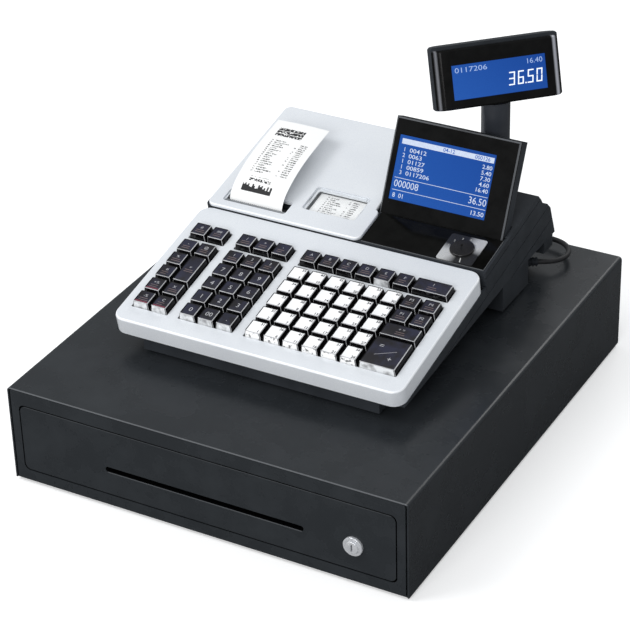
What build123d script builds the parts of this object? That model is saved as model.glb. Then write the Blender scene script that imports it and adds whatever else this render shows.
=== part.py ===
"""Electronic cash register standing on a steel cash drawer.

Millimetres, +Z up.  The origin lies on the standing surface, under the middle of the box that
holds the drawer and its lock.  The drawer opens toward -Y, and +X is to the clerk's right.
"""
from build123d import *
import math
import os

os.makedirs("parts", exist_ok=True)

# ---------------------------------------------------------------- driving dimensions
RUN = 0.06             # radial running clearance of pins and shafts in their bores
GAP = 0.3              # clearance between neighbours that move or are laid in
STEEL = 1.5            # sheet of the drawer cover and chassis
BOX_STEEL = 1.2        # sheet of the sliding drawer box
SHELL = 2.5            # wall of the moulded cases

# drawer housing
DRAWER_WIDTH = 400.0
DRAWER_DEPTH = 455.0
DRAWER_HEIGHT = 96.65
COVER_BEND = 3.5
SCREW_INSET = 20.0     # outermost screws from the drawer's sides
SCREW_DROP = 12.0      # screws under the drawer's top
FOOT_HEIGHT = 3.0
FOOT_RADIUS = 12.0
FOOT_INSET = 32.0
BEZEL_GROOVE = 1.5     # dark groove between the cover's side and the front bezel
BEZEL_THICKNESS = 12.0
CABLE_INSET = 50.0     # hole for the register's drawer cable, from the drawer's left side
CABLE_Z = 60.0

# drawer front, box and lock
FRONT_WIDTH = DRAWER_WIDTH - 24.3
FRONT_HEIGHT = DRAWER_HEIGHT - 29.65
FRONT_RISE = 13.0      # drawer front's lower edge above the housing's underside
FRONT_THICKNESS = 6.0
FRONT_CORNER = 5.5
FRONT_GAP = 1.3
SLOT_LENGTH = 200.0
SLOT_HEIGHT = 5.5
SLOT_RISE = 36.5       # media slot's lower edge above the housing's underside
LOCK_X = DRAWER_WIDTH / 2 - 52.0
LOCK_RISE = 38.0
LOCK_RING_RADIUS = 9.25
LOCK_SLEEVE_RADIUS = 8.0
LOCK_PLUG_RADIUS = 6.0
LOCK_STAND_OUT = 4.0
CAM_LENGTH = 30.0
BOX_SETBACK = 20.0     # box front wall behind the drawer front's face
BOX_LENGTH = DRAWER_DEPTH - 69.5
BOX_HALF_WIDTH = DRAWER_WIDTH / 2 - 16.0
BOX_HEIGHT = FRONT_HEIGHT - 9.0
RUNNER_DEPTH = 3.2
RAIL_RISE = 20.0       # rail's lower ledge above the chassis floor
RAIL_SHEET = 2.0
RUNNER_THICKNESS = 3.4

# cash tray
COIN_ROWS = 2
TRAY_COLUMNS = 4
COIN_LENGTH = 72.0
TRAY_WALL = 2.5
TRAY_HEIGHT = BOX_HEIGHT - 14.0
NOTE_LENGTH = BOX_LENGTH - 189.5
ROD_RADIUS = 2.5
CLIP_HUB_RADIUS = 5.0
CLIP_LENGTH = 92.0
CLIP_WIDTH = 26.0
PAD_WIDTH = 56.0

# latch at the back
LATCH_ANGLE = 24.0
LATCH_WIDTH = 10.0
CHEEK_OUT = 9.0             # latch cheeks' outer faces from the middle
CHEEK_SHEET = 3.0
STRIKE_Z = 34.0             # strike plate's upper face

# register: keyboard slope
SLOPE = 11.21
KEYBOARD_SETBACK = 94.3      # keyboard front edge behind the drawer front
KEYBOARD_RISE = 35.95        # keyboard front edge above the drawer top
KEYBOARD_WIDTH = 292.4
KEYBOARD_CENTRE = -2.1
KEYBOARD_LENGTH = 170.0
KEYBOARD_SKIRT = 17.0
FRONT_CORNER_RADIUS = 12.0
SKIRT_FILLET = 2.0

# keys
KEY_PITCH = 19.05
ROW_PITCH = 19.45
KEY_BASE = 17.6
KEY_SLANT = 1.3
KEY_SLANT_DEPTH = 1.05
KEY_LEAN = 0.2
KEY_HIGH = 5.8
KEY_LOW = -3.0
KEY_TRAVEL = 2.5
KEY_STEM_INSET = 2.3
KEY_STEM_LOW = -11.0
FIRST_COLUMN = -128.2        # leftmost key centre
MIDDLE_OFFSET = 48.85        # first middle column from the leftmost one
RIGHT_OFFSET = 116.55        # first right-hand column from the leftmost one
FIRST_ROW = 28.5             # front row centre up the slope
TOP_ROW_STEP = 24.9          # top row from the row before it
WELL_MARGIN = 0.7
GUIDE_TOP = -6.5
GUIDE_THICKNESS = 3.0
BOARD_THICKNESS = 1.6
MAIN_BOARD_XS = (18.0, 108.0)
MAIN_BOARD_SETBACKS = (225.5, 347.5)   # its front and back edges behind the drawer front
SWITCH_GAP = 0.5             # between a pressed key's stem and the key board

# register: cases
CASE_LEFT = -147.3
CASE_RIGHT = 145.0
COVER_RIGHT = 17.3
BASE_INSET = 26.0            # base block inside the keyboard bezel's sides
CASE_FOOT = 2.0
HOUSING_START = 171.0        # rear housing's front wall up the slope
BAND_DEPTH = 27.0            # seam between lower case and rear housing under the slope
WING_FRONT_RISE = 18.5       # wing's front lower edge above the drawer top
WING_REAR_RISE = 33.35       # wing's rear lower edge above the drawer top
WING_START = 7.7             # wing's lower edge starts and ends this far behind the keyboard's front
WING_END = 210.2
LEG_X = 135.0                # rear leg under the right wing
LEG_SETBACK = 346.0
LEG_FOOT = 4.4
REAR_STEP = -16.0
REAR_SETBACK = 330.2         # case's rear behind the keyboard's front edge, level
GROOVE = 0.9

# glossy panel and mode switch
PANEL_LEFT = 17.9
PANEL_RIGHT = 142.6
PANEL_START = 172.5
PANEL_END = 216.2
PANEL_PROUD = 0.5
PANEL_SHEET = 2.0
PLATE_SHEET = 0.8            # mode switch plate
PLATE_XS = (94.0, 130.0)
PLATE_SS = (173.6, 210.4)
MODE_X = 112.0
MODE_S = 192.4
MODE_RADIUS = 11.5
MODE_SHAFT = 4.0
MODE_PROUD = 3.4

# printer cover
COVER_LEFT = -145.4
COVER_START = 170.7
COVER_END = 332.5
COVER_TOP = 3.5
COVER_SHEET = 3.2
COVER_CORNER = 7.0
COVER_NOTCH_X = 12.8
COVER_NOTCH_S = 216.0
PAPER_WIDTH = 57.5
RECEIPT_X = -99.25
JOURNAL_X = -26.25
ROLL_RADIUS = 30.0
ROLL_CORE = 9.0
ROLL_SETBACK = 371.5
ROLL_RISE = 52.35
TUB_SETBACKS = (287.5, 411.5)
PLATEN_S = 189.5
PLATEN_H = -7.0
PLATEN_RADIUS = 5.0
AXLE_RADIUS = 2.0
HINGE_S = 326.0
HINGE_H = -5.0
HINGE_PIN = 2.0
COVER_EARS = (-116.0, -14.0)

# operator display
DISPLAY_LEFT = 14.0
DISPLAY_RIGHT = 140.4
DISPLAY_LOW = -1.5
DISPLAY_HIGH = 91.5
DISPLAY_DEPTH = 15.0
DISPLAY_CHAMFER = 2.0
DISPLAY_TILT = 64.5
DISPLAY_SKIN = 2.2
DISPLAY_SETBACK = 307.5      # display face's lower edge behind the drawer front
DISPLAY_RISE = 77.35         # and above the drawer top
SCREEN_LEFT = 21.0
SCREEN_RIGHT = 119.0
SCREEN_LOW = 14.5
SCREEN_HIGH = 75.0
EAR_RADIUS = 4.0
EAR_THICKNESS = 8.0
EAR_XS = (30.0, 114.0)
AXIS_UP = 5.0
AXIS_BACK = 6.5
PIN_REACH = 12.0             # hinge pin's half length

# customer display
POLE_CLEARANCE = 0.2         # pole socket from the lower case's wall
POLE_SETBACK = 377.5         # pole axis behind the drawer front
POLE_RADIUS = 13.4
SOCKET_RADIUS = POLE_RADIUS + 2.0
SOCKET_TOP_RISE = 101.0      # socket's top above the drawer top
HEAD_RISE = 198.05           # tilt axis above the drawer top
HEAD_WIDTH = 122.8
HEAD_HEIGHT = 54.6
HEAD_DEPTH = 26.0
HEAD_CHAMFER = 1.5
HEAD_BACK_RISE = 3.0         # back shell's top above the front shell's
HEAD_YAW = 43.9
HEAD_TILT = 20.1
HEAD_SKIN = 2.5
AXIS_BEHIND_FACE = 12.95
AXIS_BELOW_CENTRE = 9.0
KNUCKLE_RADIUS = 7.0
KNUCKLE_WIDTH = 12.0
HEAD_SCREEN_WIDTH = 89.3
HEAD_SCREEN_HEIGHT = 31.8
HEAD_SCREEN_DROP = 3.2
POLE_STOP = 15.5             # pole's top ends this far under the tilt axis
POLE_FLOOR = 26.0            # pole is solid above this far under the tilt axis

# power cord
CORD_RADIUS = 2.5
RELIEF_LENGTH = 23.3
RELIEF_HEADING = 26.2
COIL_MEAN = 30.0
COIL_WIDE = 4
COIL_LAYERS = 2
PLUG_RUN = 28.0              # cord between the coil's last turn and the plug's sleeve

# ---------------------------------------------------------------- derived places
front_y = -(DRAWER_DEPTH - LOCK_STAND_OUT) / 2
back_y = front_y + DRAWER_DEPTH
top_z = FOOT_HEIGHT + DRAWER_HEIGHT
half_width = DRAWER_WIDTH / 2
floor_z = FOOT_HEIGHT + STEEL
inner_x = half_width - STEEL
cable_x = CABLE_INSET - half_width
screw_xs = [(half_width - SCREW_INSET) * share for share in (-1, -1 / 3, 1 / 3, 1)]

keyboard_y = front_y + KEYBOARD_SETBACK
keyboard_z = top_z + KEYBOARD_RISE
keyboard_left = KEYBOARD_CENTRE - KEYBOARD_WIDTH / 2
keyboard_right = KEYBOARD_CENTRE + KEYBOARD_WIDTH / 2
sin_slope = math.sin(math.radians(SLOPE))
cos_slope = math.cos(math.radians(SLOPE))
slope_plane = Plane(origin=(0, keyboard_y, keyboard_z), x_dir=(1, 0, 0), z_dir=(0, -sin_slope, cos_slope))
rear_y = keyboard_y + REAR_SETBACK
base_left = keyboard_left + BASE_INSET
base_right = keyboard_right - BASE_INSET
base_z = top_z + CASE_FOOT
wing_rear_z = top_z + WING_REAR_RISE

# display face: origin at its lower left corner, local X along it, local Y up it, local Z out of it
display_y = front_y + DISPLAY_SETBACK
display_z = top_z + DISPLAY_RISE
display_normal = (0, -math.sin(math.radians(DISPLAY_TILT)), math.cos(math.radians(DISPLAY_TILT)))
display_plane = Plane(origin=(0, display_y, display_z), x_dir=(1, 0, 0), z_dir=display_normal)

roll_y = front_y + ROLL_SETBACK
roll_z = top_z + ROLL_RISE
board_front, board_back = [front_y + setback for setback in MAIN_BOARD_SETBACKS]

pole_x = base_right - SHELL - POLE_CLEARANCE - SOCKET_RADIUS
pole_y = front_y + POLE_SETBACK
head_axis_z = top_z + HEAD_RISE


# ---------------------------------------------------------------- small helpers
def block(x0, x1, y0, y1, z0, z1):
    """A box between two corners."""
    return Pos((x0 + x1) / 2, (y0 + y1) / 2, (z0 + z1) / 2) * Box(x1 - x0, y1 - y0, z1 - z0)


def slab(x0, x1, y0, y1, z0, z1, radius):
    """A box with rounded upright corners."""
    outline = RectangleRounded(x1 - x0, y1 - y0, radius)
    return Pos((x0 + x1) / 2, (y0 + y1) / 2, z0) * extrude(outline, z1 - z0)


def upright_slab(x0, x1, z0, z1, y0, y1, radius):
    """A plate standing across Y with rounded corners in its face."""
    outline = Plane.XZ * Pos((x0 + x1) / 2, (z0 + z1) / 2) * RectangleRounded(x1 - x0, z1 - z0, radius)
    return Pos(0, y0, 0) * extrude(outline, -(y1 - y0))


def prism(points, x0, x1):
    """An outline in the Y-Z plane carried from x0 to x1."""
    outline = make_face(Polyline(*points, close=True))
    return extrude(Plane.YZ.offset(x0) * outline, x1 - x0)


def rod(x0, x1, y, z, radius):
    """A round bar along X."""
    return Pos((x0 + x1) / 2, y, z) * Rot(0, 90, 0) * Cylinder(radius, x1 - x0)


def post(x, y, z0, z1, radius):
    """A round bar along Z."""
    return Pos(x, y, (z0 + z1) / 2) * Cylinder(radius, z1 - z0)


def on_slope(shape):
    """Place a shape drawn as (across, up the slope, above the slope)."""
    return slope_plane.location * shape


def side_point(s, h):
    """The (y, z) of a place s up the slope and h above it."""
    return (keyboard_y + s * cos_slope - h * sin_slope, keyboard_z + s * sin_slope + h * cos_slope)


def above_slope(point):
    """How far a (y, z) point lies above the slope."""
    return (point[1] - keyboard_z) * cos_slope - (point[0] - keyboard_y) * sin_slope


def where_height(p, q, h):
    """The point between p and q that lies h above the slope."""
    share = (h - above_slope(p)) / (above_slope(q) - above_slope(p))
    return (p[0] + share * (q[0] - p[0]), p[1] + share * (q[1] - p[1]))


def group(parts):
    """Separate solids kept in one node."""
    return Compound([solid for part in parts for solid in part.solids()])


# ---------------------------------------------------------------- drawer housing
def drawer_cover():
    outer = block(-half_width, half_width, front_y, back_y, FOOT_HEIGHT, top_z)
    top_edges = outer.edges().filter_by(Axis.Y).group_by(Axis.Z)[-1]
    outer = fillet(top_edges, COVER_BEND)
    inner = block(-inner_x, inner_x, front_y - 1, back_y + 1, FOOT_HEIGHT - 1, top_z - STEEL)
    inner_edges = inner.edges().filter_by(Axis.Y).group_by(Axis.Z)[-1]
    inner = fillet(inner_edges, COVER_BEND - STEEL)
    return outer - inner


def drawer_chassis():
    pan = block(-inner_x, inner_x, front_y + 1, back_y, FOOT_HEIGHT, floor_z)
    wall_top = top_z - STEEL - COVER_BEND
    back = block(-inner_x, inner_x, back_y - STEEL, back_y, FOOT_HEIGHT, wall_top)
    cable_hole = Pos(cable_x, back_y, CABLE_Z) * Rot(90, 0, 0) * Cylinder(9, 4 * STEEL)
    return pan + back - cable_hole - [screw(x) for x in screw_xs]


opening_half = FRONT_WIDTH / 2 + FRONT_GAP
opening_low = FOOT_HEIGHT + FRONT_RISE - FRONT_GAP
opening_high = FOOT_HEIGHT + FRONT_RISE + FRONT_HEIGHT + FRONT_GAP


def drawer_bezel():
    half = inner_x - BEZEL_GROOVE
    frame = upright_slab(-half, half, floor_z, top_z - STEEL - GAP, front_y, front_y + BEZEL_THICKNESS, 2)
    hole = upright_slab(-opening_half, opening_half, opening_low, opening_high,
                        front_y - 1, front_y + BEZEL_THICKNESS + 1, FRONT_CORNER + 0.5)
    frame -= hole
    for side in (-1, 1):
        ear_x = side * (inner_x - BEZEL_GROOVE / 2)
        frame += block(ear_x - BEZEL_GROOVE / 2, ear_x + BEZEL_GROOVE / 2, front_y + 5,
                       front_y + BEZEL_THICKNESS, floor_z, top_z - STEEL - COVER_BEND)
    return frame


ledge_z = floor_z + RAIL_RISE
rail_inner = BOX_HALF_WIDTH + GAP
rail_front = front_y + BEZEL_THICKNESS + GAP
rail_back = back_y - STEEL - 12


def slide_rails():
    rails = []
    lip_z = ledge_z + RUNNER_THICKNESS + 2 * GAP
    for side in (-1, 1):
        x_out = side * inner_x
        x_in = side * (rail_inner + 0.4)
        low, high = sorted((x_out, x_in))
        web_low, web_high = sorted((x_out, side * (inner_x - RAIL_SHEET)))
        rail = block(low, high, rail_front, rail_back, ledge_z - RAIL_SHEET, ledge_z)
        rail += block(low, high, rail_front, rail_back, lip_z, lip_z + RAIL_SHEET)
        rail += block(web_low, web_high, rail_front, rail_back, floor_z, lip_z + RAIL_SHEET)
        rails.append(rail)
    return group(rails)


def rubber_feet():
    feet = []
    for x in (-half_width + FOOT_INSET, half_width - FOOT_INSET):
        for y in (front_y + FOOT_INSET, back_y - FOOT_INSET):
            feet.append(post(x, y, 0, FOOT_HEIGHT, FOOT_RADIUS))
    for x in (base_left + 14, base_right - 14):
        for y in (keyboard_y + 24, rear_y - 16):
            feet.append(post(x, y, top_z, base_z, 7))
    feet.append(post(LEG_X, leg_y, top_z, leg_low, 6))
    return group(feet)


# ---------------------------------------------------------------- sliding drawer
box_front = front_y + BOX_SETBACK
box_back = box_front + BOX_LENGTH
box_low = FOOT_HEIGHT + FRONT_RISE + GAP
slot_low = FOOT_HEIGHT + SLOT_RISE
lock_z = FOOT_HEIGHT + LOCK_RISE


def media_slot():
    return upright_slab(-SLOT_LENGTH / 2, SLOT_LENGTH / 2, slot_low, slot_low + SLOT_HEIGHT,
                        front_y - 1, box_front + BOX_STEEL + TRAY_WALL + 2, SLOT_HEIGHT / 2 - 0.05)


def around_slot(x0, x1, y0, y1, z0, z1, margin):
    """A wall across Y, in four flat pieces round the media slot."""
    edge = SLOT_LENGTH / 2 + margin
    low = slot_low - margin
    high = slot_low + SLOT_HEIGHT + margin
    return [block(x0, -edge, y0, y1, z0, z1), block(edge, x1, y0, y1, z0, z1),
            block(-edge, edge, y0, y1, z0, low), block(-edge, edge, y0, y1, high, z1)]


def drawer_front():
    """The front plate, in four pieces that meet round the media slot."""
    low = FOOT_HEIGHT + FRONT_RISE
    panel = upright_slab(-FRONT_WIDTH / 2, FRONT_WIDTH / 2, low, low + FRONT_HEIGHT,
                         front_y, front_y + FRONT_THICKNESS, FRONT_CORNER)
    panel -= media_slot()
    sleeve_hole = Pos(LOCK_X, front_y, lock_z) * Rot(90, 0, 0) * Cylinder(LOCK_SLEEVE_RADIUS, 40)
    panel -= sleeve_hole
    end = (SLOT_LENGTH - SLOT_HEIGHT) / 2
    middle = slot_low + SLOT_HEIGHT / 2
    near = front_y - 1
    far = front_y + FRONT_THICKNESS + 1
    regions = [block(-half_width, -end, near, far, 0, top_z), block(end, half_width, near, far, 0, top_z),
               block(-end, end, near, far, 0, middle), block(-end, end, near, far, middle, top_z)]
    return group([panel & region for region in regions])


def drawer_box():
    """The sliding box, folded from flat walls, with its runners and the strike of the latch."""
    half = BOX_HALF_WIDTH
    inside = half - BOX_STEEL
    high = box_low + BOX_HEIGHT
    floor = block(-inside, inside, box_front, box_back, box_low, box_low + BOX_STEEL)
    back = block(-inside, inside, box_back - BOX_STEEL, box_back, box_low + BOX_STEEL, high)
    parts = [floor, back]
    parts += around_slot(-inside, inside, box_front, box_front + BOX_STEEL, box_low + BOX_STEEL, high, 0)
    for side in (-1, 1):
        x0, x1 = sorted((side * half, side * inside))
        parts.append(block(x0, x1, front_y + FRONT_THICKNESS, box_back, box_low, high))
        x0, x1 = sorted((side * half, side * (half + RUNNER_DEPTH)))
        parts.append(block(x0, x1, box_front, box_back, ledge_z + GAP, ledge_z + GAP + RUNNER_THICKNESS))
    # strike plate and its lip, that the latch hook catches
    parts.append(block(-8, 8, box_back, box_back + 16, STRIKE_Z - 2, STRIKE_Z))
    parts.append(block(-8, 8, box_back + 13, box_back + 16, STRIKE_Z, STRIKE_Z + 6))
    return group(parts)


tray_x = BOX_HALF_WIDTH - BOX_STEEL - 0.2
tray_front = box_front + BOX_STEEL + 0.2
tray_back = box_back - BOX_STEEL - 0.2
tray_low = box_low + BOX_STEEL
tray_high = tray_low + TRAY_HEIGHT
column_pitch = (2 * tray_x - TRAY_WALL) / TRAY_COLUMNS
note_back = tray_front + TRAY_WALL + COIN_ROWS * (COIN_LENGTH + TRAY_WALL) + NOTE_LENGTH
rod_y = note_back - 10
rod_z = tray_high - ROD_RADIUS - 2


def column_centre(column):
    return -tray_x + TRAY_WALL / 2 + column_pitch * (column + 0.5)


def cash_tray():
    """The tray's floor and walls, and the dividers that stand in it between its cups and bays."""
    inside = tray_x - TRAY_WALL
    floor = tray_low + TRAY_WALL
    coin_front = tray_front + TRAY_WALL
    parts = [block(-inside, inside, tray_front, tray_back, tray_low, floor)]
    parts.append(block(-inside, inside, tray_back - TRAY_WALL, tray_back, floor, tray_high))
    parts += around_slot(-inside, inside, tray_front, coin_front, floor, tray_high, 1)
    for side in (-1, 1):
        x0, x1 = sorted((side * tray_x, side * inside))
        parts.append(block(x0, x1, tray_front, tray_back, tray_low, tray_high) - clip_rod())
    for column in range(1, TRAY_COLUMNS):
        x = column_centre(column) - column_pitch / 2
        long_divider = block(x - TRAY_WALL / 2, x + TRAY_WALL / 2, coin_front, note_back, floor, tray_high)
        parts.append(long_divider - clip_rod())
    half_cell = (column_pitch - TRAY_WALL) / 2
    for column in range(TRAY_COLUMNS):
        x = column_centre(column)
        for row in range(1, COIN_ROWS + 1):
            back = coin_front + row * (COIN_LENGTH + TRAY_WALL)
            parts.append(block(x - half_cell, x + half_cell, back - TRAY_WALL, back, floor, tray_high))
    # the deep bay behind the notes takes cheques and spare rolls of coin
    parts.append(block(-inside, inside, note_back, note_back + TRAY_WALL, floor, tray_high))
    return group(parts)


def clip_rod():
    return rod(-tray_x + 0.5, tray_x - 0.5, rod_y, rod_z, ROD_RADIUS)


def note_clip(column):
    """A sprung arm that hangs from the rod and presses the notes with a flat pad."""
    x = column_centre(column)
    pad_top = tray_low + TRAY_WALL + 1.4
    drop = rod_z - pad_top - 1
    reach = math.sqrt(CLIP_LENGTH ** 2 - drop ** 2)
    hub = rod(x - CLIP_WIDTH / 2, x + CLIP_WIDTH / 2, rod_y, rod_z, CLIP_HUB_RADIUS)
    tip = (rod_y - reach, pad_top)
    arm = prism([(rod_y - 1, rod_z + 1.5), (rod_y - 1, rod_z - 1.5), (tip[0], tip[1] - 0.9), (tip[0], tip[1] + 1.4)],
                x - CLIP_WIDTH / 2, x + CLIP_WIDTH / 2)
    pad = block(x - PAD_WIDTH / 2, x + PAD_WIDTH / 2, tip[0] - 16, tip[0] + 6, pad_top - 1.1, pad_top + 1.2)
    bore = rod(x - CLIP_WIDTH, x + CLIP_WIDTH, rod_y, rod_z, ROD_RADIUS + RUN)
    return hub + arm + pad - bore


def lock_ring():
    flange = Pos(LOCK_X, front_y - 1.25, lock_z) * Rot(90, 0, 0) * Cylinder(LOCK_RING_RADIUS, 2.5)
    flange = fillet(flange.edges().sort_by(Axis.Y)[0], 0.8)
    sleeve_end = front_y + BEZEL_THICKNESS
    sleeve = Pos(LOCK_X, (front_y + sleeve_end) / 2, lock_z) * Rot(90, 0, 0)
    sleeve *= Cylinder(LOCK_SLEEVE_RADIUS, sleeve_end - front_y)
    bore = Pos(LOCK_X, front_y, lock_z) * Rot(90, 0, 0) * Cylinder(LOCK_PLUG_RADIUS + RUN, 60)
    return flange + sleeve - bore


def lock_cylinder():
    start = front_y - LOCK_STAND_OUT
    end = front_y + BEZEL_THICKNESS + 2
    plug = Pos(LOCK_X, (start + end) / 2, lock_z) * Rot(90, 0, 0) * Cylinder(LOCK_PLUG_RADIUS, end - start)
    plug = fillet(plug.edges().sort_by(Axis.Y)[0], 0.6)
    plug -= block(LOCK_X - 0.9, LOCK_X + 0.9, start - 1, start + 6, lock_z - 3.6, lock_z + 3.6)
    cam_start = front_y + BEZEL_THICKNESS + 2
    cam = block(LOCK_X - CAM_LENGTH, LOCK_X + 5, cam_start, cam_start + 2, lock_z - 4, lock_z + 4)
    return plug + cam


# ---------------------------------------------------------------- latch and spring
latch_pivot_y = back_y - 16
latch_pivot_z = 52.0


def latch_hook():
    """The hook, lifted clear of the strike by the latch angle."""
    tooth_y = box_back + 13 - GAP
    half = LATCH_WIDTH / 2
    arm = block(-half, half, tooth_y - 3.5, latch_pivot_y, latch_pivot_z - 3, latch_pivot_z + 3)
    tooth = block(-half, half, tooth_y - 3.5, tooth_y, STRIKE_Z + GAP, latch_pivot_z)
    hub = rod(-half, half, latch_pivot_y, latch_pivot_z, 5)
    hook = arm + tooth + hub - rod(-9, 9, latch_pivot_y, latch_pivot_z, HINGE_PIN + RUN)
    return hook.rotate(Axis((0, latch_pivot_y, latch_pivot_z), (1, 0, 0)), -LATCH_ANGLE)


def solenoid():
    base = block(-52, CHEEK_OUT, latch_pivot_y - 7, back_y - STEEL, floor_z, floor_z + 2)
    left = block(-CHEEK_OUT, -CHEEK_OUT + CHEEK_SHEET, latch_pivot_y - 7, latch_pivot_y + 7, floor_z, latch_pivot_z + 7)
    right = block(CHEEK_OUT - CHEEK_SHEET, CHEEK_OUT, latch_pivot_y - 7, latch_pivot_y + 7, floor_z, latch_pivot_z + 7)
    coil = Pos(-32, latch_pivot_y + 1, floor_z + 2 + 17) * Cylinder(12, 34)
    yoke = block(-46, -18, latch_pivot_y - 6, latch_pivot_y + 8, floor_z + 36, floor_z + 38)
    plunger = post(-32, latch_pivot_y + 1, floor_z + 38, floor_z + 44, 4)
    body = base + left + right + coil + yoke + plunger
    return body - rod(-20, 20, latch_pivot_y, latch_pivot_z, HINGE_PIN)


def ejector_spring():
    length = back_y - STEEL - box_back - 2 * GAP
    centre = (box_back + back_y - STEEL) / 2
    spring = Pos(90, centre, 45) * Rot(90, 0, 0) * Cylinder(8, length)
    return spring - Pos(90, centre, 45) * Rot(90, 0, 0) * Cylinder(6.4, length + 2)


# ---------------------------------------------------------------- keyboard
row_s = [FIRST_ROW + ROW_PITCH * row for row in range(5)]
top_s = row_s[4] + TOP_ROW_STEP
left_x = [FIRST_COLUMN + KEY_PITCH * k for k in range(2)]
middle_x = [FIRST_COLUMN + MIDDLE_OFFSET + KEY_PITCH * k for k in range(3)]
right_x = [FIRST_COLUMN + RIGHT_OFFSET + KEY_PITCH * k for k in range(8)]


def key_cells(xs, ss):
    """Cells of single keys: centre across, centre up the slope, width and depth."""
    return [(x, s, KEY_BASE, KEY_BASE) for s in ss for x in xs]


def wide_cell(x0, x1, s0, s1):
    """One cell that fills the places from column x0 to x1 and row s0 to s1."""
    return [((x0 + x1) / 2, (s0 + s1) / 2, x1 - x0 + KEY_BASE, s1 - s0 + KEY_BASE)]


KEY_GROUPS = {
    "feed_keys": key_cells(left_x, [top_s]),
    "function_keys": key_cells([left_x[0]], row_s) + key_cells([left_x[1]], [row_s[0], row_s[1], row_s[4]]),
    "tall_key": wide_cell(left_x[1], left_x[1], row_s[2], row_s[3]),
    "operator_keys": key_cells(middle_x, [row_s[4], top_s]),
    "number_keys": key_cells(middle_x, row_s[:4]),
    "item_keys": key_cells(right_x[:6], row_s),
    "menu_keys": key_cells(right_x[:6], [top_s]),
    "wide_menu_key": wide_cell(right_x[6], right_x[7], top_s, top_s),
    "side_keys": key_cells(right_x[6:], row_s[3:]),
    "subtotal_key": wide_cell(right_x[6], right_x[7], row_s[2], row_s[2]),
    "total_key": wide_cell(right_x[6], right_x[7], row_s[0], row_s[1]),
}


def key(x, s, width, depth):
    """A tapered cap with the stem that its guide hole holds."""
    base = Pos(x, s, KEY_LOW) * Rectangle(width, depth)
    crown = Pos(x, s + KEY_LEAN, KEY_HIGH) * Rectangle(width - 2 * KEY_SLANT, depth - 2 * KEY_SLANT_DEPTH)
    cap = loft([base.face(), crown.face()])
    half_stem = width / 2 - KEY_STEM_INSET
    half_depth = depth / 2 - KEY_STEM_INSET
    stem = block(x - half_stem, x + half_stem, s - half_depth, s + half_depth, KEY_STEM_LOW, KEY_LOW)
    return on_slope(cap + stem)


def well(xs, s0, s1):
    edge = KEY_BASE / 2 + WELL_MARGIN
    return slab(xs[0] - edge, xs[-1] + edge, s0 - edge, s1 + edge, -SHELL - 1, 1, 1)


def keyboard_bezel():
    left = keyboard_left
    right = keyboard_right
    body = slab(left, right, 0, KEYBOARD_LENGTH, -KEYBOARD_SKIRT, 0, FRONT_CORNER_RADIUS)
    body = fillet(body.faces().sort_by(Axis.Z)[-1].edges(), SKIRT_FILLET)
    body -= slab(left + SHELL, right - SHELL, SHELL, KEYBOARD_LENGTH - SHELL, -KEYBOARD_SKIRT - 1, -SHELL,
                 FRONT_CORNER_RADIUS - SHELL)
    for xs in (left_x, middle_x, right_x):
        body -= well(xs, row_s[0], row_s[4])
        body -= well(xs, top_s, top_s)
    return on_slope(body)


def board_outline(z0, z1, margin):
    return slab(keyboard_left + SHELL + margin, keyboard_right - SHELL - margin, SHELL + margin,
                KEYBOARD_LENGTH - SHELL - margin, z0, z1, FRONT_CORNER_RADIUS - SHELL)


def key_guide():
    plate = board_outline(GUIDE_TOP - GUIDE_THICKNESS, GUIDE_TOP, GAP)
    holes = []
    for cells in KEY_GROUPS.values():
        for x, s, width, depth in cells:
            half_x = width / 2 - KEY_STEM_INSET + GAP
            half_s = depth / 2 - KEY_STEM_INSET + GAP
            holes.append(block(x - half_x, x + half_x, s - half_s, s + half_s, GUIDE_TOP - 9, GUIDE_TOP + 9))
    return on_slope(plate - holes)


main_board_z = base_z + SHELL + 8


def circuit_boards():
    board_top = KEY_STEM_LOW - KEY_TRAVEL - SWITCH_GAP
    key_board = on_slope(board_outline(board_top - BOARD_THICKNESS, board_top, GAP))
    x0, x1 = MAIN_BOARD_XS
    main_board = block(x0, x1, board_front, board_back, main_board_z, main_board_z + BOARD_THICKNESS)
    return group([key_board, main_board])


# ---------------------------------------------------------------- register cases
left_rear = [side_point(331, REAR_STEP), (rear_y, top_z + 23.35)]
deck_end = [(front_y + 377, top_z + 91.15), (front_y + 384, top_z + 83.95), (front_y + 387.5, top_z + 78.15),
            (front_y + 398, top_z + 72.95)]
right_rear = [(front_y + 405.8, top_z + 65.35), (rear_y - 2.8, top_z + 23.35)]
left_seam = where_height(left_rear[0], left_rear[1], -BAND_DEPTH)
right_seam = where_height(deck_end[-1], right_rear[0], -BAND_DEPTH)
leg_y = front_y + LEG_SETBACK
leg_low = top_z + LEG_FOOT
wing_front = (keyboard_y + WING_START, top_z + WING_FRONT_RISE)
wing_rear = (keyboard_y + WING_END, wing_rear_z)


def at_level(p, q, z):
    """The point between p and q at height z."""
    share = (z - p[1]) / (q[1] - p[1])
    return (p[0] + share * (q[0] - p[0]), z)


def lower_half(seam, rear, x0, x1):
    """Outer form of the lower case over one range of X, above the wing's lower edge."""
    points = [side_point(4, -KEYBOARD_SKIRT), wing_front, wing_rear]
    points.append(at_level(rear[-2], rear[-1], wing_rear_z))
    if above_slope(rear[-2]) < -BAND_DEPTH:
        points.append(rear[-2])
    points.append(seam)
    points.append(side_point(HOUSING_START - 0.5, -BAND_DEPTH))
    points.append(side_point(HOUSING_START - 0.5, -KEYBOARD_SKIRT))
    return prism(points, x0, x1)


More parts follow.
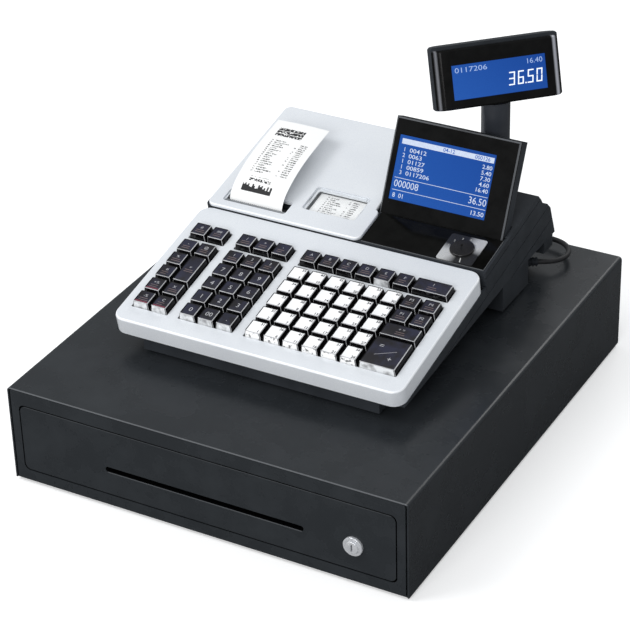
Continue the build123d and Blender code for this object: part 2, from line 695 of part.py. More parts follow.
def lower_hollow(seam, rear, x0, x1):
    """Room inside the lower case, open at its top."""
    rise = (wing_rear[1] - wing_front[1]) / (wing_rear[0] - wing_front[0])
    start = keyboard_y + 51
    points = [(start, wing_front[1] + rise * (start - wing_front[0]) + SHELL)]
    points.append((wing_rear[0], wing_rear[1] + SHELL))
    foot = at_level(rear[-2], rear[-1], wing_rear_z + SHELL)
    points.append((foot[0] - SHELL - 0.5, foot[1]))
    if above_slope(rear[-2]) < -BAND_DEPTH:
        points.append((rear[-2][0] - SHELL - 0.5, rear[-2][1] - 1))
    points.append((seam[0] - SHELL - 1.5, seam[1] + 1))
    points.append(side_point(HOUSING_START + 1, -BAND_DEPTH + 1))
    points.append(side_point(HOUSING_START - SHELL, -KEYBOARD_SKIRT + 1))
    points.append(side_point(52, -KEYBOARD_SKIRT + 1))
    return prism(points, x0, x1)


def lower_case():
    split = COVER_RIGHT
    case = lower_half(left_seam, left_rear, CASE_LEFT, split)
    case += lower_half(right_seam, right_rear, split, CASE_RIGHT)
    base_front = keyboard_y + 12.2
    base_back = rear_y - 5
    roof = (base_front, wing_front[1] + 1)
    case += prism([(base_front, base_z), (base_back, base_z), (base_back, wing_rear_z + 1),
                   (wing_rear[0], wing_rear_z + 1), roof], base_left, base_right)
    pocket_left = CASE_LEFT + 3
    pocket_front = keyboard_y + 189
    case += block(pocket_left, base_left + 1, pocket_front, base_back, base_z, wing_rear_z + 1)
    case += block(base_right - 1, CASE_RIGHT - 2, rear_y - 27, rear_y - 7, top_z + 18.5, wing_rear_z + 1)
    case += block(LEG_X - 8, LEG_X + 8, wing_rear[0] + 1, leg_y + 16, leg_low, wing_rear_z + 1)
    # hollows
    case -= lower_hollow(left_seam, left_rear, CASE_LEFT + SHELL, split)
    case -= lower_hollow(right_seam, right_rear, split - 1, CASE_RIGHT - SHELL)
    case -= prism([(base_front + SHELL, base_z + SHELL), (base_back - SHELL, base_z + SHELL),
                   (base_back - SHELL, wing_rear_z + SHELL + 1), (wing_rear[0], wing_rear_z + SHELL + 1),
                   (keyboard_y + 51, wing_front[1] + 6), (base_front + SHELL, wing_front[1] - 1.5)],
                  base_left + SHELL, base_right - SHELL)
    case -= block(pocket_left + SHELL, base_left + SHELL + 1, pocket_front + SHELL, base_back - SHELL,
                  base_z + SHELL, wing_rear_z + SHELL + 1)
    # board pillars, relief hole and side grooves
    x0, x1 = MAIN_BOARD_XS
    for x in (x0 + 5, x1 - 5):
        for y in (board_front + 5, board_back - 5):
            case += post(x, y, base_z + 1, main_board_z, 3)
    case -= relief_place * Pos(0, 0, -1) * Cylinder(5.2, 12)
    for h in (-BAND_DEPTH + 0.1, -45.5):
        groove = block(CASE_RIGHT - GROOVE, CASE_RIGHT + 1, 66, 360, h - GROOVE, h)
        case -= on_slope(groove)
    return case


trough_left = DISPLAY_LEFT - 0.5
trough_right = DISPLAY_RIGHT + 0.5
trough_front = display_y - 1.2
trough_back = display_y + 21.5
trough_floor = display_z - 19.5


def display_point(up, back):
    """The (y, z) of a place up the display's face and behind it."""
    spot = display_plane.from_local_coords((0, up, -back))
    return (spot.Y, spot.Z)


display_axis = display_point(AXIS_UP, AXIS_BACK)


def housing_half(seam, x0, x1, steps):
    """Outer form of the rear housing over one range of X."""
    points = [side_point(HOUSING_START, -BAND_DEPTH), side_point(HOUSING_START, 0)]
    return prism(points + steps + [seam], x0, x1)


def rear_housing():
    split = COVER_RIGHT
    left_steps = [side_point(314, 0), side_point(314, REAR_STEP), left_rear[0]]
    case = housing_half(left_seam, CASE_LEFT, split, left_steps)
    case += housing_half(right_seam, split, CASE_RIGHT, deck_end)
    # hollow under the deck
    low = -BAND_DEPTH - 1
    inner_front = [side_point(HOUSING_START + SHELL, low), side_point(HOUSING_START + SHELL, -SHELL)]
    left_inner = [side_point(311.5, -SHELL), side_point(311.5, REAR_STEP - SHELL)]
    left_inner.append(side_point(331 - SHELL, REAR_STEP - SHELL))
    left_inner.append((left_seam[0] - SHELL - 0.3, left_seam[1] - 1))
    case -= prism(inner_front + left_inner, CASE_LEFT + SHELL, split)
    right_inner = [(deck_end[0][0] - 5, deck_end[0][1] - SHELL - 1.6), (deck_end[2][0] - 3.2, deck_end[2][1] - 2.4)]
    right_inner.append((right_seam[0] - SHELL - 1.5, right_seam[1] - 1.5))
    case -= prism(inner_front + right_inner, split - 1, CASE_RIGHT - SHELL)
    # rounded front left corner
    corner = block(CASE_LEFT - 1, CASE_LEFT + 5, HOUSING_START - 1, HOUSING_START + 5, -400, 400)
    corner -= post(CASE_LEFT + 5, HOUSING_START + 5, -400, 400, 5)
    case -= on_slope(corner)
    # printer well and panel recess
    case -= on_slope(block(CASE_LEFT + 6, COVER_NOTCH_X - 2, 178, 311.6, -SHELL - 1, 1))
    case -= on_slope(block(PANEL_LEFT - GAP, PANEL_RIGHT + GAP, PANEL_START - GAP, PANEL_END + 6,
                           PANEL_PROUD - PANEL_SHEET, 1))
    case -= on_slope(Pos(MODE_X, MODE_S, 0) * Cylinder(MODE_SHAFT + RUN, 30))
    # trough that the operator display stands in
    trough = block(trough_left - SHELL, trough_right + SHELL, trough_front - SHELL, trough_back + SHELL,
                   trough_floor - SHELL, display_z + 30)
    case += trough & on_slope(block(-400, 400, 0, 400, -60, PANEL_PROUD - PANEL_SHEET))
    case -= block(trough_left, trough_right, trough_front, trough_back, trough_floor, display_z + 30)
    y, z = display_axis
    for x in EAR_XS:
        ear = block(x - EAR_THICKNESS / 2, x + EAR_THICKNESS / 2, y - EAR_RADIUS, y + EAR_RADIUS, trough_floor - 1, z)
        case += ear + rod(x - EAR_THICKNESS / 2, x + EAR_THICKNESS / 2, y, z, EAR_RADIUS)
    case -= rod(EAR_XS[0] - 20, EAR_XS[1] + 20, y, z, HINGE_PIN)
    # cover hinge ears
    for x in COVER_EARS:
        case += on_slope(block(x - 2, x + 2, HINGE_S - 4, HINGE_S + 4, REAR_STEP - 0.5, HINGE_H))
        case += on_slope(Pos(x, HINGE_S, HINGE_H) * Rot(0, 90, 0) * Cylinder(4, 4))
    case -= on_slope(Pos(0, HINGE_S, HINGE_H) * Rot(0, 90, 0) * Cylinder(HINGE_PIN, 400))
    # hole for the pole socket, and a side groove
    case -= post(pole_x, pole_y, base_z, top_z + 140, SOCKET_RADIUS + GAP / 2)
    case -= on_slope(block(CASE_RIGHT - GROOVE, CASE_RIGHT + 1, 160, 360, -7 - GROOVE, -7))
    return case


def glossy_panel():
    panel = slab(PANEL_LEFT, PANEL_RIGHT, PANEL_START, PANEL_END, PANEL_PROUD - PANEL_SHEET, PANEL_PROUD, 1.2)
    panel -= Pos(MODE_X, MODE_S, 0) * Cylinder(MODE_SHAFT + RUN, 10)
    return on_slope(panel)


def mode_plate():
    plate = slab(*PLATE_XS, *PLATE_SS, PANEL_PROUD, PANEL_PROUD + PLATE_SHEET, 2.5)
    return on_slope(plate - Pos(MODE_X, MODE_S, 0) * Cylinder(MODE_SHAFT + RUN, 10))


def mode_rotor():
    knob_low = PANEL_PROUD + PLATE_SHEET + 0.1
    knob = Pos(MODE_X, MODE_S, (knob_low + MODE_PROUD) / 2) * Cylinder(MODE_RADIUS, MODE_PROUD - knob_low)
    knob = fillet(knob.edges().sort_by(Axis.Z)[-1], 1)
    shaft = Pos(MODE_X, MODE_S, (knob_low - 9) / 2) * Cylinder(MODE_SHAFT, knob_low + 9)
    slot = Pos(MODE_X, MODE_S, MODE_PROUD) * Rot(0, 0, 25) * Box(2, 9, 2.4)
    return on_slope(knob + shaft - slot)


# ---------------------------------------------------------------- printer
def printer_cover():
    low = COVER_TOP - COVER_SHEET
    plate = slab(COVER_LEFT, COVER_NOTCH_X, COVER_START, COVER_END, low, COVER_TOP, COVER_CORNER)
    plate += slab(COVER_NOTCH_X - 30, COVER_RIGHT, COVER_START, COVER_NOTCH_S, low, COVER_TOP, COVER_CORNER)
    plate = fillet(plate.faces().sort_by(Axis.Z)[-1].edges(), 1.5)
    plate += block(COVER_LEFT + 8, COVER_NOTCH_X - 8, COVER_END - 2.3, COVER_END, -12, low + 1)
    for x in COVER_EARS:
        plate -= block(x - 2.4, x + 2.4, HINGE_S + 3.5, COVER_END + 1, -13, low)
    # receipt slot in its recess, and the journal window's seat
    plate -= slab(-133, -65.5, 179.5, 198, COVER_TOP - 1.5, COVER_TOP + 1, 3)
    plate -= slab(-131, -66.5, 183.2, 197, low - 1, COVER_TOP + 1, 1)
    plate -= slab(-55, 2.5, 193, 228, COVER_TOP - 1.9, COVER_TOP + 1, 4)
    plate -= slab(-52, 0, 195, 224.5, low - 1, COVER_TOP + 1, 2)
    # cheeks of the platen roller and of the hinge
    for x in (-135.5, 0.5):
        plate += block(x, x + 3, PLATEN_S - 4.5, PLATEN_S + 4.5, PLATEN_H - 4, low + 1)
    axle = Rot(0, 90, 0) * Cylinder(AXLE_RADIUS + RUN, 300)
    plate -= Pos(0, PLATEN_S, PLATEN_H) * axle
    for x in COVER_EARS:
        for side in (-1, 1):
            inner = x + side * 2.4
            outer = x + side * 6
            plate += block(min(inner, outer), max(inner, outer), HINGE_S - 3.5, HINGE_S + 3.5,
                           HINGE_H - 3.5, low + 1)
    plate -= Pos(0, HINGE_S, HINGE_H) * Rot(0, 90, 0) * Cylinder(HINGE_PIN + RUN, 400)
    return on_slope(plate)


def journal_window():
    return on_slope(slab(-55 + 0.1, 2.5 - 0.1, 193.1, 227.9, COVER_TOP - 1.9, COVER_TOP - 0.1, 4))


def tear_bar():
    """Toothed strip along the front edge of the receipt slot."""
    teeth = 30
    x0 = -131.0
    step = 64.5 / teeth
    points = [(x0, 180.4), (x0, 182.2)]
    for tooth in range(teeth):
        points.append((x0 + step * (tooth + 0.5), 183.2))
        points.append((x0 + step * (tooth + 1), 182.2))
    points.append((x0 + 64.5, 180.4))
    outline = make_face(Polyline(*points, close=True))
    return on_slope(Pos(0, 0, COVER_TOP - 1.5) * extrude(outline, 1.0))


def platen_roller():
    roller = Pos(-66, PLATEN_S, PLATEN_H) * Rot(0, 90, 0) * Cylinder(PLATEN_RADIUS, 131)
    axle = Pos(-66, PLATEN_S, PLATEN_H) * Rot(0, 90, 0) * Cylinder(AXLE_RADIUS, 138)
    return on_slope(roller + axle)


def paper_roll(x):
    half = PAPER_WIDTH / 2
    roll = rod(x - half, x + half, roll_y, roll_z, ROLL_RADIUS)
    return roll - rod(x - half - 1, x + half + 1, roll_y, roll_z, ROLL_CORE)


def receipt_paper():
    """The printed strip: up from the platen, out of the slot and back over the cover."""
    path = [(183.9, -12), (183.9, -1), (184.8, 4.2), (190, 11), (200, 18.5), (223, 24.5), (254, 26.4), (286, 25)]
    thick = 0.18
    upper = Spline(*[side_point(s, h) for s, h in path])
    lower = Spline(*[side_point(s + thick, h - thick) for s, h in path])
    start = Line(upper @ 0, lower @ 0)
    end = Line(upper @ 1, lower @ 1)
    outline = make_face([upper, end, lower, start])
    half = PAPER_WIDTH / 2 - 0.6
    return extrude(Plane.YZ.offset(RECEIPT_X - half) * outline, 2 * half)


def printer_frame():
    x0 = -139.0
    x1 = 9.0
    low = base_z + SHELL
    front, back = [front_y + setback for setback in TUB_SETBACKS]
    tub = block(x0, x1, front, back, low, roll_z - 2)
    for x in (RECEIPT_X, JOURNAL_X):
        half = PAPER_WIDTH / 2 + GAP
        tub -= rod(x - half, x + half, roll_y, roll_z, ROLL_RADIUS + GAP)
    tub -= block(x0 + 3, x1 - 3, front + 3, back - 3, low - 1, roll_z - ROLL_RADIUS - GAP - 3)
    head = on_slope(block(-134, 5, 196, 212, -32, -3.5))
    return tub + head


# ---------------------------------------------------------------- operator display
def on_display(shape):
    return display_plane.location * shape


def ear_notches():
    notches = []
    for x in EAR_XS:
        half = EAR_THICKNESS / 2 + GAP
        notches.append(block(x - half, x + half, DISPLAY_LOW - 1, AXIS_UP + EAR_RADIUS + 1, -DISPLAY_DEPTH - 1,
                             -AXIS_BACK + EAR_RADIUS + GAP))
    return notches


def display_front():
    face = block(DISPLAY_LEFT, DISPLAY_RIGHT, DISPLAY_LOW, DISPLAY_HIGH, -DISPLAY_SKIN, 0)
    face = chamfer(face.faces().sort_by(Axis.Z)[-1].edges(), DISPLAY_CHAMFER)
    face -= slab(SCREEN_LEFT, SCREEN_RIGHT, SCREEN_LOW, SCREEN_HIGH, -DISPLAY_SKIN - 1, 1, 0.6)
    return on_display(face)


def display_back():
    back = block(DISPLAY_LEFT, DISPLAY_RIGHT, DISPLAY_LOW, DISPLAY_HIGH, -DISPLAY_DEPTH, -DISPLAY_SKIN)
    back = fillet(back.faces().sort_by(Axis.Z)[0].edges(), 0.9)
    back -= block(SCREEN_LEFT - 3, SCREEN_RIGHT + 3, SCREEN_LOW - 3, SCREEN_HIGH + 3,
                  -DISPLAY_DEPTH + SHELL, -DISPLAY_SKIN + 1)
    back -= ear_notches()
    for x in EAR_XS:
        back -= Pos(x, AXIS_UP, -AXIS_BACK) * Rot(0, 90, 0) * Cylinder(HINGE_PIN + RUN, 2 * PIN_REACH + 2)
    return on_display(back)


def display_lcd():
    module = block(SCREEN_LEFT - 2.7, SCREEN_RIGHT + 2.7, SCREEN_LOW - 2.7, SCREEN_HIGH + 2.7,
                   -DISPLAY_DEPTH + SHELL, -DISPLAY_SKIN)
    glass = block(SCREEN_LEFT + 0.2, SCREEN_RIGHT - 0.2, SCREEN_LOW + 0.2, SCREEN_HIGH - 0.2,
                  -DISPLAY_SKIN, -0.5)
    return on_display(module + glass)


def hinge_pins():
    y, z = display_axis
    pins = [rod(x - PIN_REACH, x + PIN_REACH, y, z, HINGE_PIN) for x in EAR_XS]
    for x in COVER_EARS:
        pins.append(on_slope(Pos(x, HINGE_S, HINGE_H) * Rot(0, 90, 0) * Cylinder(HINGE_PIN, 12.4)))
    pins.append(rod(-CHEEK_OUT, CHEEK_OUT, latch_pivot_y, latch_pivot_z, HINGE_PIN))
    return group(pins)


# ---------------------------------------------------------------- customer display
head_turn = Location((pole_x, pole_y, head_axis_z), (0, 0, HEAD_YAW)) * Rot(90 - HEAD_TILT, 0, 0)


def on_head(shape):
    """Place a shape drawn about the tilt axis: X across, Y up the face, Z out of the face."""
    return head_turn * shape


face_z = AXIS_BEHIND_FACE
head_low = AXIS_BELOW_CENTRE - HEAD_HEIGHT / 2
head_high = AXIS_BELOW_CENTRE + HEAD_HEIGHT / 2
screen_y = AXIS_BELOW_CENTRE - HEAD_SCREEN_DROP


def head_form(z0, z1, rise=0.0):
    """The head's rounded outline: its upright edges are full, its top and bottom flat."""
    depth = HEAD_DEPTH
    outline = Plane.XZ * Pos(0, face_z - depth / 2) * RectangleRounded(HEAD_WIDTH, depth, depth / 2 - 0.1)
    body = Pos(0, head_low, 0) * extrude(outline, -(HEAD_HEIGHT + rise))
    ends = body.faces().sort_by(Axis.Y)
    body = chamfer(ends[0].edges() + ends[-1].edges(), HEAD_CHAMFER)
    return body & block(-HEAD_WIDTH, HEAD_WIDTH, head_low - 1, head_high + rise + 1, z0, z1)


def head_split():
    return face_z - 7.5


def customer_front():
    shell = head_form(head_split(), face_z)
    inner = block(-HEAD_SCREEN_WIDTH / 2 - 2, HEAD_SCREEN_WIDTH / 2 + 2, screen_y - 20, screen_y + 20,
                  head_split() - 1, face_z - HEAD_SKIN)
    window = block(-HEAD_SCREEN_WIDTH / 2, HEAD_SCREEN_WIDTH / 2, screen_y - HEAD_SCREEN_HEIGHT / 2,
                   screen_y + HEAD_SCREEN_HEIGHT / 2, 0, face_z + 1)
    return on_head(shell - inner - window)


def knuckle_room():
    half = KNUCKLE_WIDTH / 2 + GAP
    room = block(-half, half, head_low - 1, KNUCKLE_RADIUS + 1, face_z - HEAD_DEPTH - 1, 0)
    return room + rod(-half, half, 0, 0, KNUCKLE_RADIUS + 0.5) + block(-half, half, head_low - 1, 0, -1, 7.6)


def customer_back():
    shell = head_form(face_z - HEAD_DEPTH, head_split(), HEAD_BACK_RISE)
    side = block(10, HEAD_WIDTH / 2 - 9, head_low + SHELL, head_high - SHELL, face_z - HEAD_DEPTH + SHELL,
                 head_split() + 1)
    other = block(-HEAD_WIDTH / 2 + 9, -10, head_low + SHELL, head_high - SHELL, face_z - HEAD_DEPTH + SHELL,
                  head_split() + 1)
    shell = shell - side - other - knuckle_room()
    return on_head(shell - rod(-16, 16, 0, 0, HINGE_PIN + RUN))


def customer_lcd():
    module = block(-HEAD_SCREEN_WIDTH / 2 - 1.7, HEAD_SCREEN_WIDTH / 2 + 1.7, screen_y - 19.7, screen_y + 19.7,
                   head_split() + 2.2, face_z - HEAD_SKIN)
    glass = block(-HEAD_SCREEN_WIDTH / 2 + 0.2, HEAD_SCREEN_WIDTH / 2 - 0.2, screen_y - HEAD_SCREEN_HEIGHT / 2 + 0.2,
                  screen_y + HEAD_SCREEN_HEIGHT / 2 - 0.2, face_z - HEAD_SKIN, face_z - 0.5)
    return on_head(module + glass)


def customer_pin():
    return on_head(rod(-13, 13, 0, 0, HINGE_PIN))


socket_low = base_z + SHELL


def pole_base():
    socket = post(pole_x, pole_y, socket_low, top_z + SOCKET_TOP_RISE, SOCKET_RADIUS)
    socket -= post(pole_x, pole_y, socket_low + 4, top_z + SOCKET_TOP_RISE + 1, POLE_RADIUS + RUN)
    return socket


def pole():
    tube = post(pole_x, pole_y, socket_low + 4 + GAP, head_axis_z - POLE_STOP, POLE_RADIUS)
    tube -= post(pole_x, pole_y, socket_low, head_axis_z - POLE_FLOOR, POLE_RADIUS - 2.5)
    neck = Location((pole_x, pole_y, 0), (0, 0, HEAD_YAW))
    # room that the head's underside sweeps: behind the tilt axis, and above it
    swept = [(20, -18), (10.4, -18), (9.8, -20.8), (9.0, -21.5), (6, -22.5), (2.1, -23.1), (0, -21.8), (-5, -19),
             (-7, -17.8), (-14, -16.3), (-20, -14.6), (-20, 5), (20, 5)]
    tube -= neck * prism([(y, head_axis_z + z) for y, z in swept], -20, 20)
    half = KNUCKLE_WIDTH / 2
    tongue = block(-half, half, -KNUCKLE_RADIUS, KNUCKLE_RADIUS, head_axis_z - 24, head_axis_z)
    tongue += rod(-half, half, 0, head_axis_z, KNUCKLE_RADIUS)
    tongue -= rod(-half - 1, half + 1, 0, head_axis_z, HINGE_PIN)
    return tube + neck * tongue


# ---------------------------------------------------------------- power cord
relief_end = (CASE_RIGHT - 6, rear_y - 31.2, top_z + 11.35)
relief_turn = Location(relief_end, (0, 0, RELIEF_HEADING))
relief_place = relief_turn * Pos(-RELIEF_LENGTH, 0, 0) * Rot(0, 90, 0)

coil_centre = (12.0, back_y + 68.7)
coil_inner = COIL_MEAN - CORD_RADIUS * COIL_WIDE
coil_outer = COIL_MEAN + CORD_RADIUS * COIL_WIDE
coil_high = 0.3 + COIL_LAYERS * 2 * CORD_RADIUS

cord_route = [
    relief_end,
    (145.3, 170.9, 111.0),
    (151.7, 176.5, 110.4),
    (156.5, 185.2, 109.6),
    (157.7, 195.1, 108.9),
    (155.1, 204.8, 108.4),
    (149.1, 212.8, 108.1),
    (140.5, 217.9, 107.9),
    (130.6, 219.5, 107.9),
    (120.6, 220.2, 108.1),
    (110.9, 224.1, 108.5),
    (103.1, 231.6, 108.4),
    (98.2, 241.0, 106.5),
    (94.1, 249.2, 100.7),
    (91.3, 254.9, 91.9),
    (90.1, 257.3, 81.3),
    (89.7, 258.2, 64.0),
    (89.3, 258.6, 45.0),
    (88.8, 259.1, 27.4),
    (85.0, 259.5, 17.3),
    (77.5, 259.9, 9.6),
    (67.7, 260.2, 5.1),
    (57.0, 260.5, 3.3),
    (43.0, 260.8, 2.9),
    (28.0, 260.7, 2.85),
    (coil_centre[0] + 2, 260.7, 2.82),
]


def corner_radii(points):
    """Each corner's radius: 0.45 of its shorter run over the tangent of half its turn."""
    radii = []
    for before, here, after in zip(points, points[1:], points[2:]):
        run_in = Vector(*here) - Vector(*before)
        run_out = Vector(*after) - Vector(*here)
        turn = math.radians(run_in.get_angle(run_out))
        radii.append(0.45 * min(run_in.length, run_out.length) / math.tan(turn / 2))
    return radii


def power_cord():
    radii = corner_radii(cord_route)
    path = FilletPolyline(*cord_route, radius=radii)
    section = Plane(origin=path @ 0, z_dir=path % 0) * Circle(CORD_RADIUS)
    tube = sweep(section, path)
    expected = math.pi * CORD_RADIUS ** 2 * path.length
    print("cord: length %.0f mm, volume ratio %.4f, radii" % (path.length, tube.volume / expected),
          [round(radius) for radius in radii])
    last_turn = rod(coil_centre[0], coil_centre[0] + PLUG_RUN, plug_y, plug_z, CORD_RADIUS)
    return group([tube, last_turn])


def cord_coil():
    x, y = coil_centre
    ring = post(x, y, 0.3, coil_high, coil_outer) - post(x, y, 0, coil_high + 1, coil_inner)
    return ring


def strain_relief():
    """A tapered sleeve with ribs, from the case's wall to where the cord bends free."""
    body = Pos(0, 0, RELIEF_LENGTH / 2) * Cone(5.2, CORD_RADIUS + 0.9, RELIEF_LENGTH)
    collar = Pos(0, 0, 4.9) * Cylinder(6.4, 3)
    for rib in range(5):
        at = 9 + 3.2 * rib
        body += Pos(0, 0, at) * Cylinder(5.4 - 0.045 * at, 1.5)
    return relief_place * (body + collar)


plug_x = coil_centre[0] + PLUG_RUN
plug_y = coil_centre[1] + COIL_MEAN + (COIL_WIDE - 1) * CORD_RADIUS
plug_z = coil_high - CORD_RADIUS


def cord_plug():
    """A two-pin mains plug lying beside the coil."""
    tail = Pos(plug_x + 13, plug_y, plug_z) * Rot(0, 90, 0) * Cone(CORD_RADIUS + 0.8, 5.2, 26)
    body = slab(plug_x + 24, plug_x + 60, plug_y - 13.5, plug_y + 13.5, 0.3, 2 * plug_z - 0.3, 5)
    plug = tail + fillet(body.edges().filter_by(Plane.XY), 2)
    for side in (-1, 1):
        plug += rod(plug_x + 59, plug_x + 79, plug_y + side * 9.5, plug_z, 2.0)
    return plug


def screw(x):
    """A flat-headed screw, flush with the chassis's back."""
    z = top_z - SCREW_DROP
    head = Pos(x, back_y - 0.5, z) * Rot(90, 0, 0) * Cylinder(3, 1)
    return head + Pos(x, back_y - 4, z) * Rot(90, 0, 0) * Cylinder(1.5, 8)


def case_screws():
    """Screws through the chassis's back into the cover's flange."""
    return group([screw(x) for x in screw_xs])


PARTS = {
    "drawer_cover": drawer_cover,
    "drawer_chassis": drawer_chassis,
    "drawer_bezel": drawer_bezel,
    "slide_rails": slide_rails,
    "rubber_feet": rubber_feet,
    "drawer_front": drawer_front,
    "drawer_box": drawer_box,
    "cash_tray": cash_tray,
    "clip_rod": clip_rod,
    "latch_hook": latch_hook,
    "solenoid": solenoid,
    "ejector_spring": ejector_spring,
    "lock_ring": lock_ring,
    "lock_cylinder": lock_cylinder,
    "keyboard_bezel": keyboard_bezel,
    "key_guide": key_guide,
    "circuit_boards": circuit_boards,
    "lower_case": lower_case,
    "rear_housing": rear_housing,
    "glossy_panel": glossy_panel,
    "mode_plate": mode_plate,
    "mode_rotor": mode_rotor,
    "printer_cover": printer_cover,
    "journal_window": journal_window,
    "tear_bar": tear_bar,
    "platen_roller": platen_roller,
    "printer_frame": printer_frame,
    "receipt_paper": receipt_paper,
    "display_front": display_front,
    "display_back": display_back,
    "display_lcd": display_lcd,
    "hinge_pins": hinge_pins,
    "customer_front": customer_front,
    "customer_back": customer_back,
    "customer_lcd": customer_lcd,
    "customer_pin": customer_pin,
    "pole_base": pole_base,
    "pole": pole,
    "power_cord": power_cord,
    "cord_coil": cord_coil,
    "strain_relief": strain_relief,
    "cord_plug": cord_plug,
    "case_screws": case_screws,
}

for name, make in PARTS.items():
    export_step(make(), "parts/" + name + ".step")
for column in range(TRAY_COLUMNS):
    export_step(note_clip(column), "parts/note_clip_%d.step" % (column + 1))
for name, x in (("receipt_roll", RECEIPT_X), ("journal_roll", JOURNAL_X)):
    export_step(paper_roll(x), "parts/" + name + ".step")
for name, cells in KEY_GROUPS.items():
    export_step(group([key(*cell) for cell in cells]), "parts/" + name + ".step")
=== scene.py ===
"""Looks of an electronic cash register that stands on its cash drawer.

Each piece is drawn in millimetres in a frame of its own, such as the keyboard's slope, and is then
placed in metres.  +Z is up, the drawer opens toward -Y, and +X is to the clerk's right.
"""
import math
from contextlib import contextmanager

import bmesh
import bpy
from mathutils import Matrix, Vector


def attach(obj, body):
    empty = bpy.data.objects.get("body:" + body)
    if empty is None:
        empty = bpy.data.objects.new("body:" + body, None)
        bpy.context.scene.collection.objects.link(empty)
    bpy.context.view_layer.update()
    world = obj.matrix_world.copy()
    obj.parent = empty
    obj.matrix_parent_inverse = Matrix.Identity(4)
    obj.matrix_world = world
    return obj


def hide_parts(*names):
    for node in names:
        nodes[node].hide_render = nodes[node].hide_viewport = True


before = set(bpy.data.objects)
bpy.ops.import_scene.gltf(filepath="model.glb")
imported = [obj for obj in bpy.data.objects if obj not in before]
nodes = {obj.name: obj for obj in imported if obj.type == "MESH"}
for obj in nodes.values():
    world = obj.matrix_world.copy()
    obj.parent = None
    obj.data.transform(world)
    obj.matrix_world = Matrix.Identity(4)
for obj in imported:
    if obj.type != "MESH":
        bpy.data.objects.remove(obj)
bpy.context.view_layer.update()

MM = 0.001


# ---------------------------------------------------------------- frames that pieces are drawn in
def drawing_frame(place, *turns):
    """A frame in millimetres, at a place in millimetres, turned about one axis after another."""
    matrix = Matrix.Translation(Vector(place) * MM)
    for axis, degrees in turns:
        matrix = matrix @ Matrix.Rotation(math.radians(degrees), 4, axis)
    return matrix @ Matrix.Diagonal((MM, MM, MM, 1))


SLOPE = 11.21                # keyboard, from level
DISPLAY_TILT = 64.5          # operator display's face, from level
HEAD_YAW = 43.9              # customer display, turned on its pole
HEAD_TILT = 20.1             # and leaned back
KEYBOARD = drawing_frame((0, -131.2, 135.6), ("X", SLOPE))          # across, up the slope, above it
DISPLAY = drawing_frame((0, 82, 177), ("X", DISPLAY_TILT))          # across, up the face, out of it
HEAD = drawing_frame((100, 152, 297.7), ("Z", HEAD_YAW), ("X", 90 - HEAD_TILT))      # the same
INK = 0.03                   # thickness of printed marks


# ---------------------------------------------------------------- modelling by hand
def take(*pieces):
    """Selects these objects and no others; the last one is active."""
    bpy.ops.object.select_all(action="DESELECT")
    for piece in pieces:
        piece.select_set(True)
        bpy.context.view_layer.objects.active = piece


def added(name):
    """The object that an operator has just added, under its name."""
    piece = bpy.context.object
    piece.name = name
    piece.data.name = name
    return piece


def settle(piece, matrix=None):
    """Puts a piece's place into its mesh, after moving it by a matrix."""
    if matrix is not None:
        piece.matrix_world = matrix @ piece.matrix_world
    take(piece)
    bpy.ops.object.transform_apply(location=True, rotation=True, scale=True)
    return piece


@contextmanager
def editing(piece):
    take(piece)
    bpy.ops.object.mode_set(mode="EDIT")
    yield
    bpy.ops.object.mode_set(mode="OBJECT")


def choose(piece, kind, test):
    """In edit mode, selects the vertices, edges or faces that pass a test."""
    mesh = bmesh.from_edit_mesh(piece.data)
    modes = ("verts", "edges", "faces")
    bpy.context.tool_settings.mesh_select_mode = tuple(kind == mode for mode in modes)
    for mode in modes:
        for part in getattr(mesh, mode):
            part.select = False
    for part in getattr(mesh, kind):
        if test(part):
            part.select_set(True)
    bmesh.update_edit_mesh(piece.data)


def middle(edge):
    return (edge.verts[0].co + edge.verts[1].co) / 2


def along(edge):
    return (edge.verts[1].co - edge.verts[0].co).normalized()


def box_piece(name, low, high):
    """A box between two corners, the start of a piece."""
    bpy.ops.object.select_all(action="DESELECT")
    centre = (Vector(low) + Vector(high)) / 2
    bpy.ops.mesh.primitive_cube_add(size=1, location=centre)
    piece = added(name)
    piece.scale = Vector(high) - Vector(low)
    return settle(piece)


def ink_bar(name, x0, x1, y0, y1, z, lean=0.0):
    """A printed line: a thin leaf whose upper end may lean to the right."""
    bpy.ops.object.select_all(action="DESELECT")
    bpy.ops.mesh.primitive_plane_add(size=1, location=((x0 + x1) / 2, (y0 + y1) / 2, z))
    piece = added(name)
    piece.scale = (x1 - x0, y1 - y0, 1)
    settle(piece)
    with editing(piece):
        choose(piece, "verts", lambda v: v.co.y > (y0 + y1) / 2)
        bpy.ops.transform.translate(value=(lean, 0, 0))
        choose(piece, "faces", lambda f: True)
        bpy.ops.mesh.extrude_region_move(TRANSFORM_OT_translate={"value": (0, 0, INK)})
    return piece


def figures(name, text, x, y, z, size, align="CENTER", condense=1.0, bold=0.0):
    """Printed figures, standing a hair above the face that they are printed on."""
    bpy.ops.object.select_all(action="DESELECT")
    bpy.ops.object.text_add(location=(x, y, z))
    piece = bpy.context.object
    piece.data.body = text
    piece.data.size = size
    piece.data.align_x = align
    piece.data.align_y = "CENTER"
    piece.data.extrude = INK / 2
    piece.data.offset = bold
    piece.data.resolution_u = 3
    bpy.ops.object.convert(target="MESH")
    piece = added(name)
    piece.scale = (condense, 1, 1)
    return settle(piece)


def joined(name, pieces):
    """Joins pieces into one."""
    take(*pieces)
    bpy.ops.object.join()
    return added(name)


def finish(piece, body, slot, *coats):
    """Gives a piece its coats and its body to ride on. The slot of its finish is not used."""
    if coats:
        piece.data.materials.clear()
        for coat in coats:
            piece.data.materials.append(coat.material)
    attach(piece, body)
    return piece


def smooth(piece, degrees=35):
    take(piece)
    bpy.ops.object.shade_smooth_by_angle(angle=math.radians(degrees))
    return piece


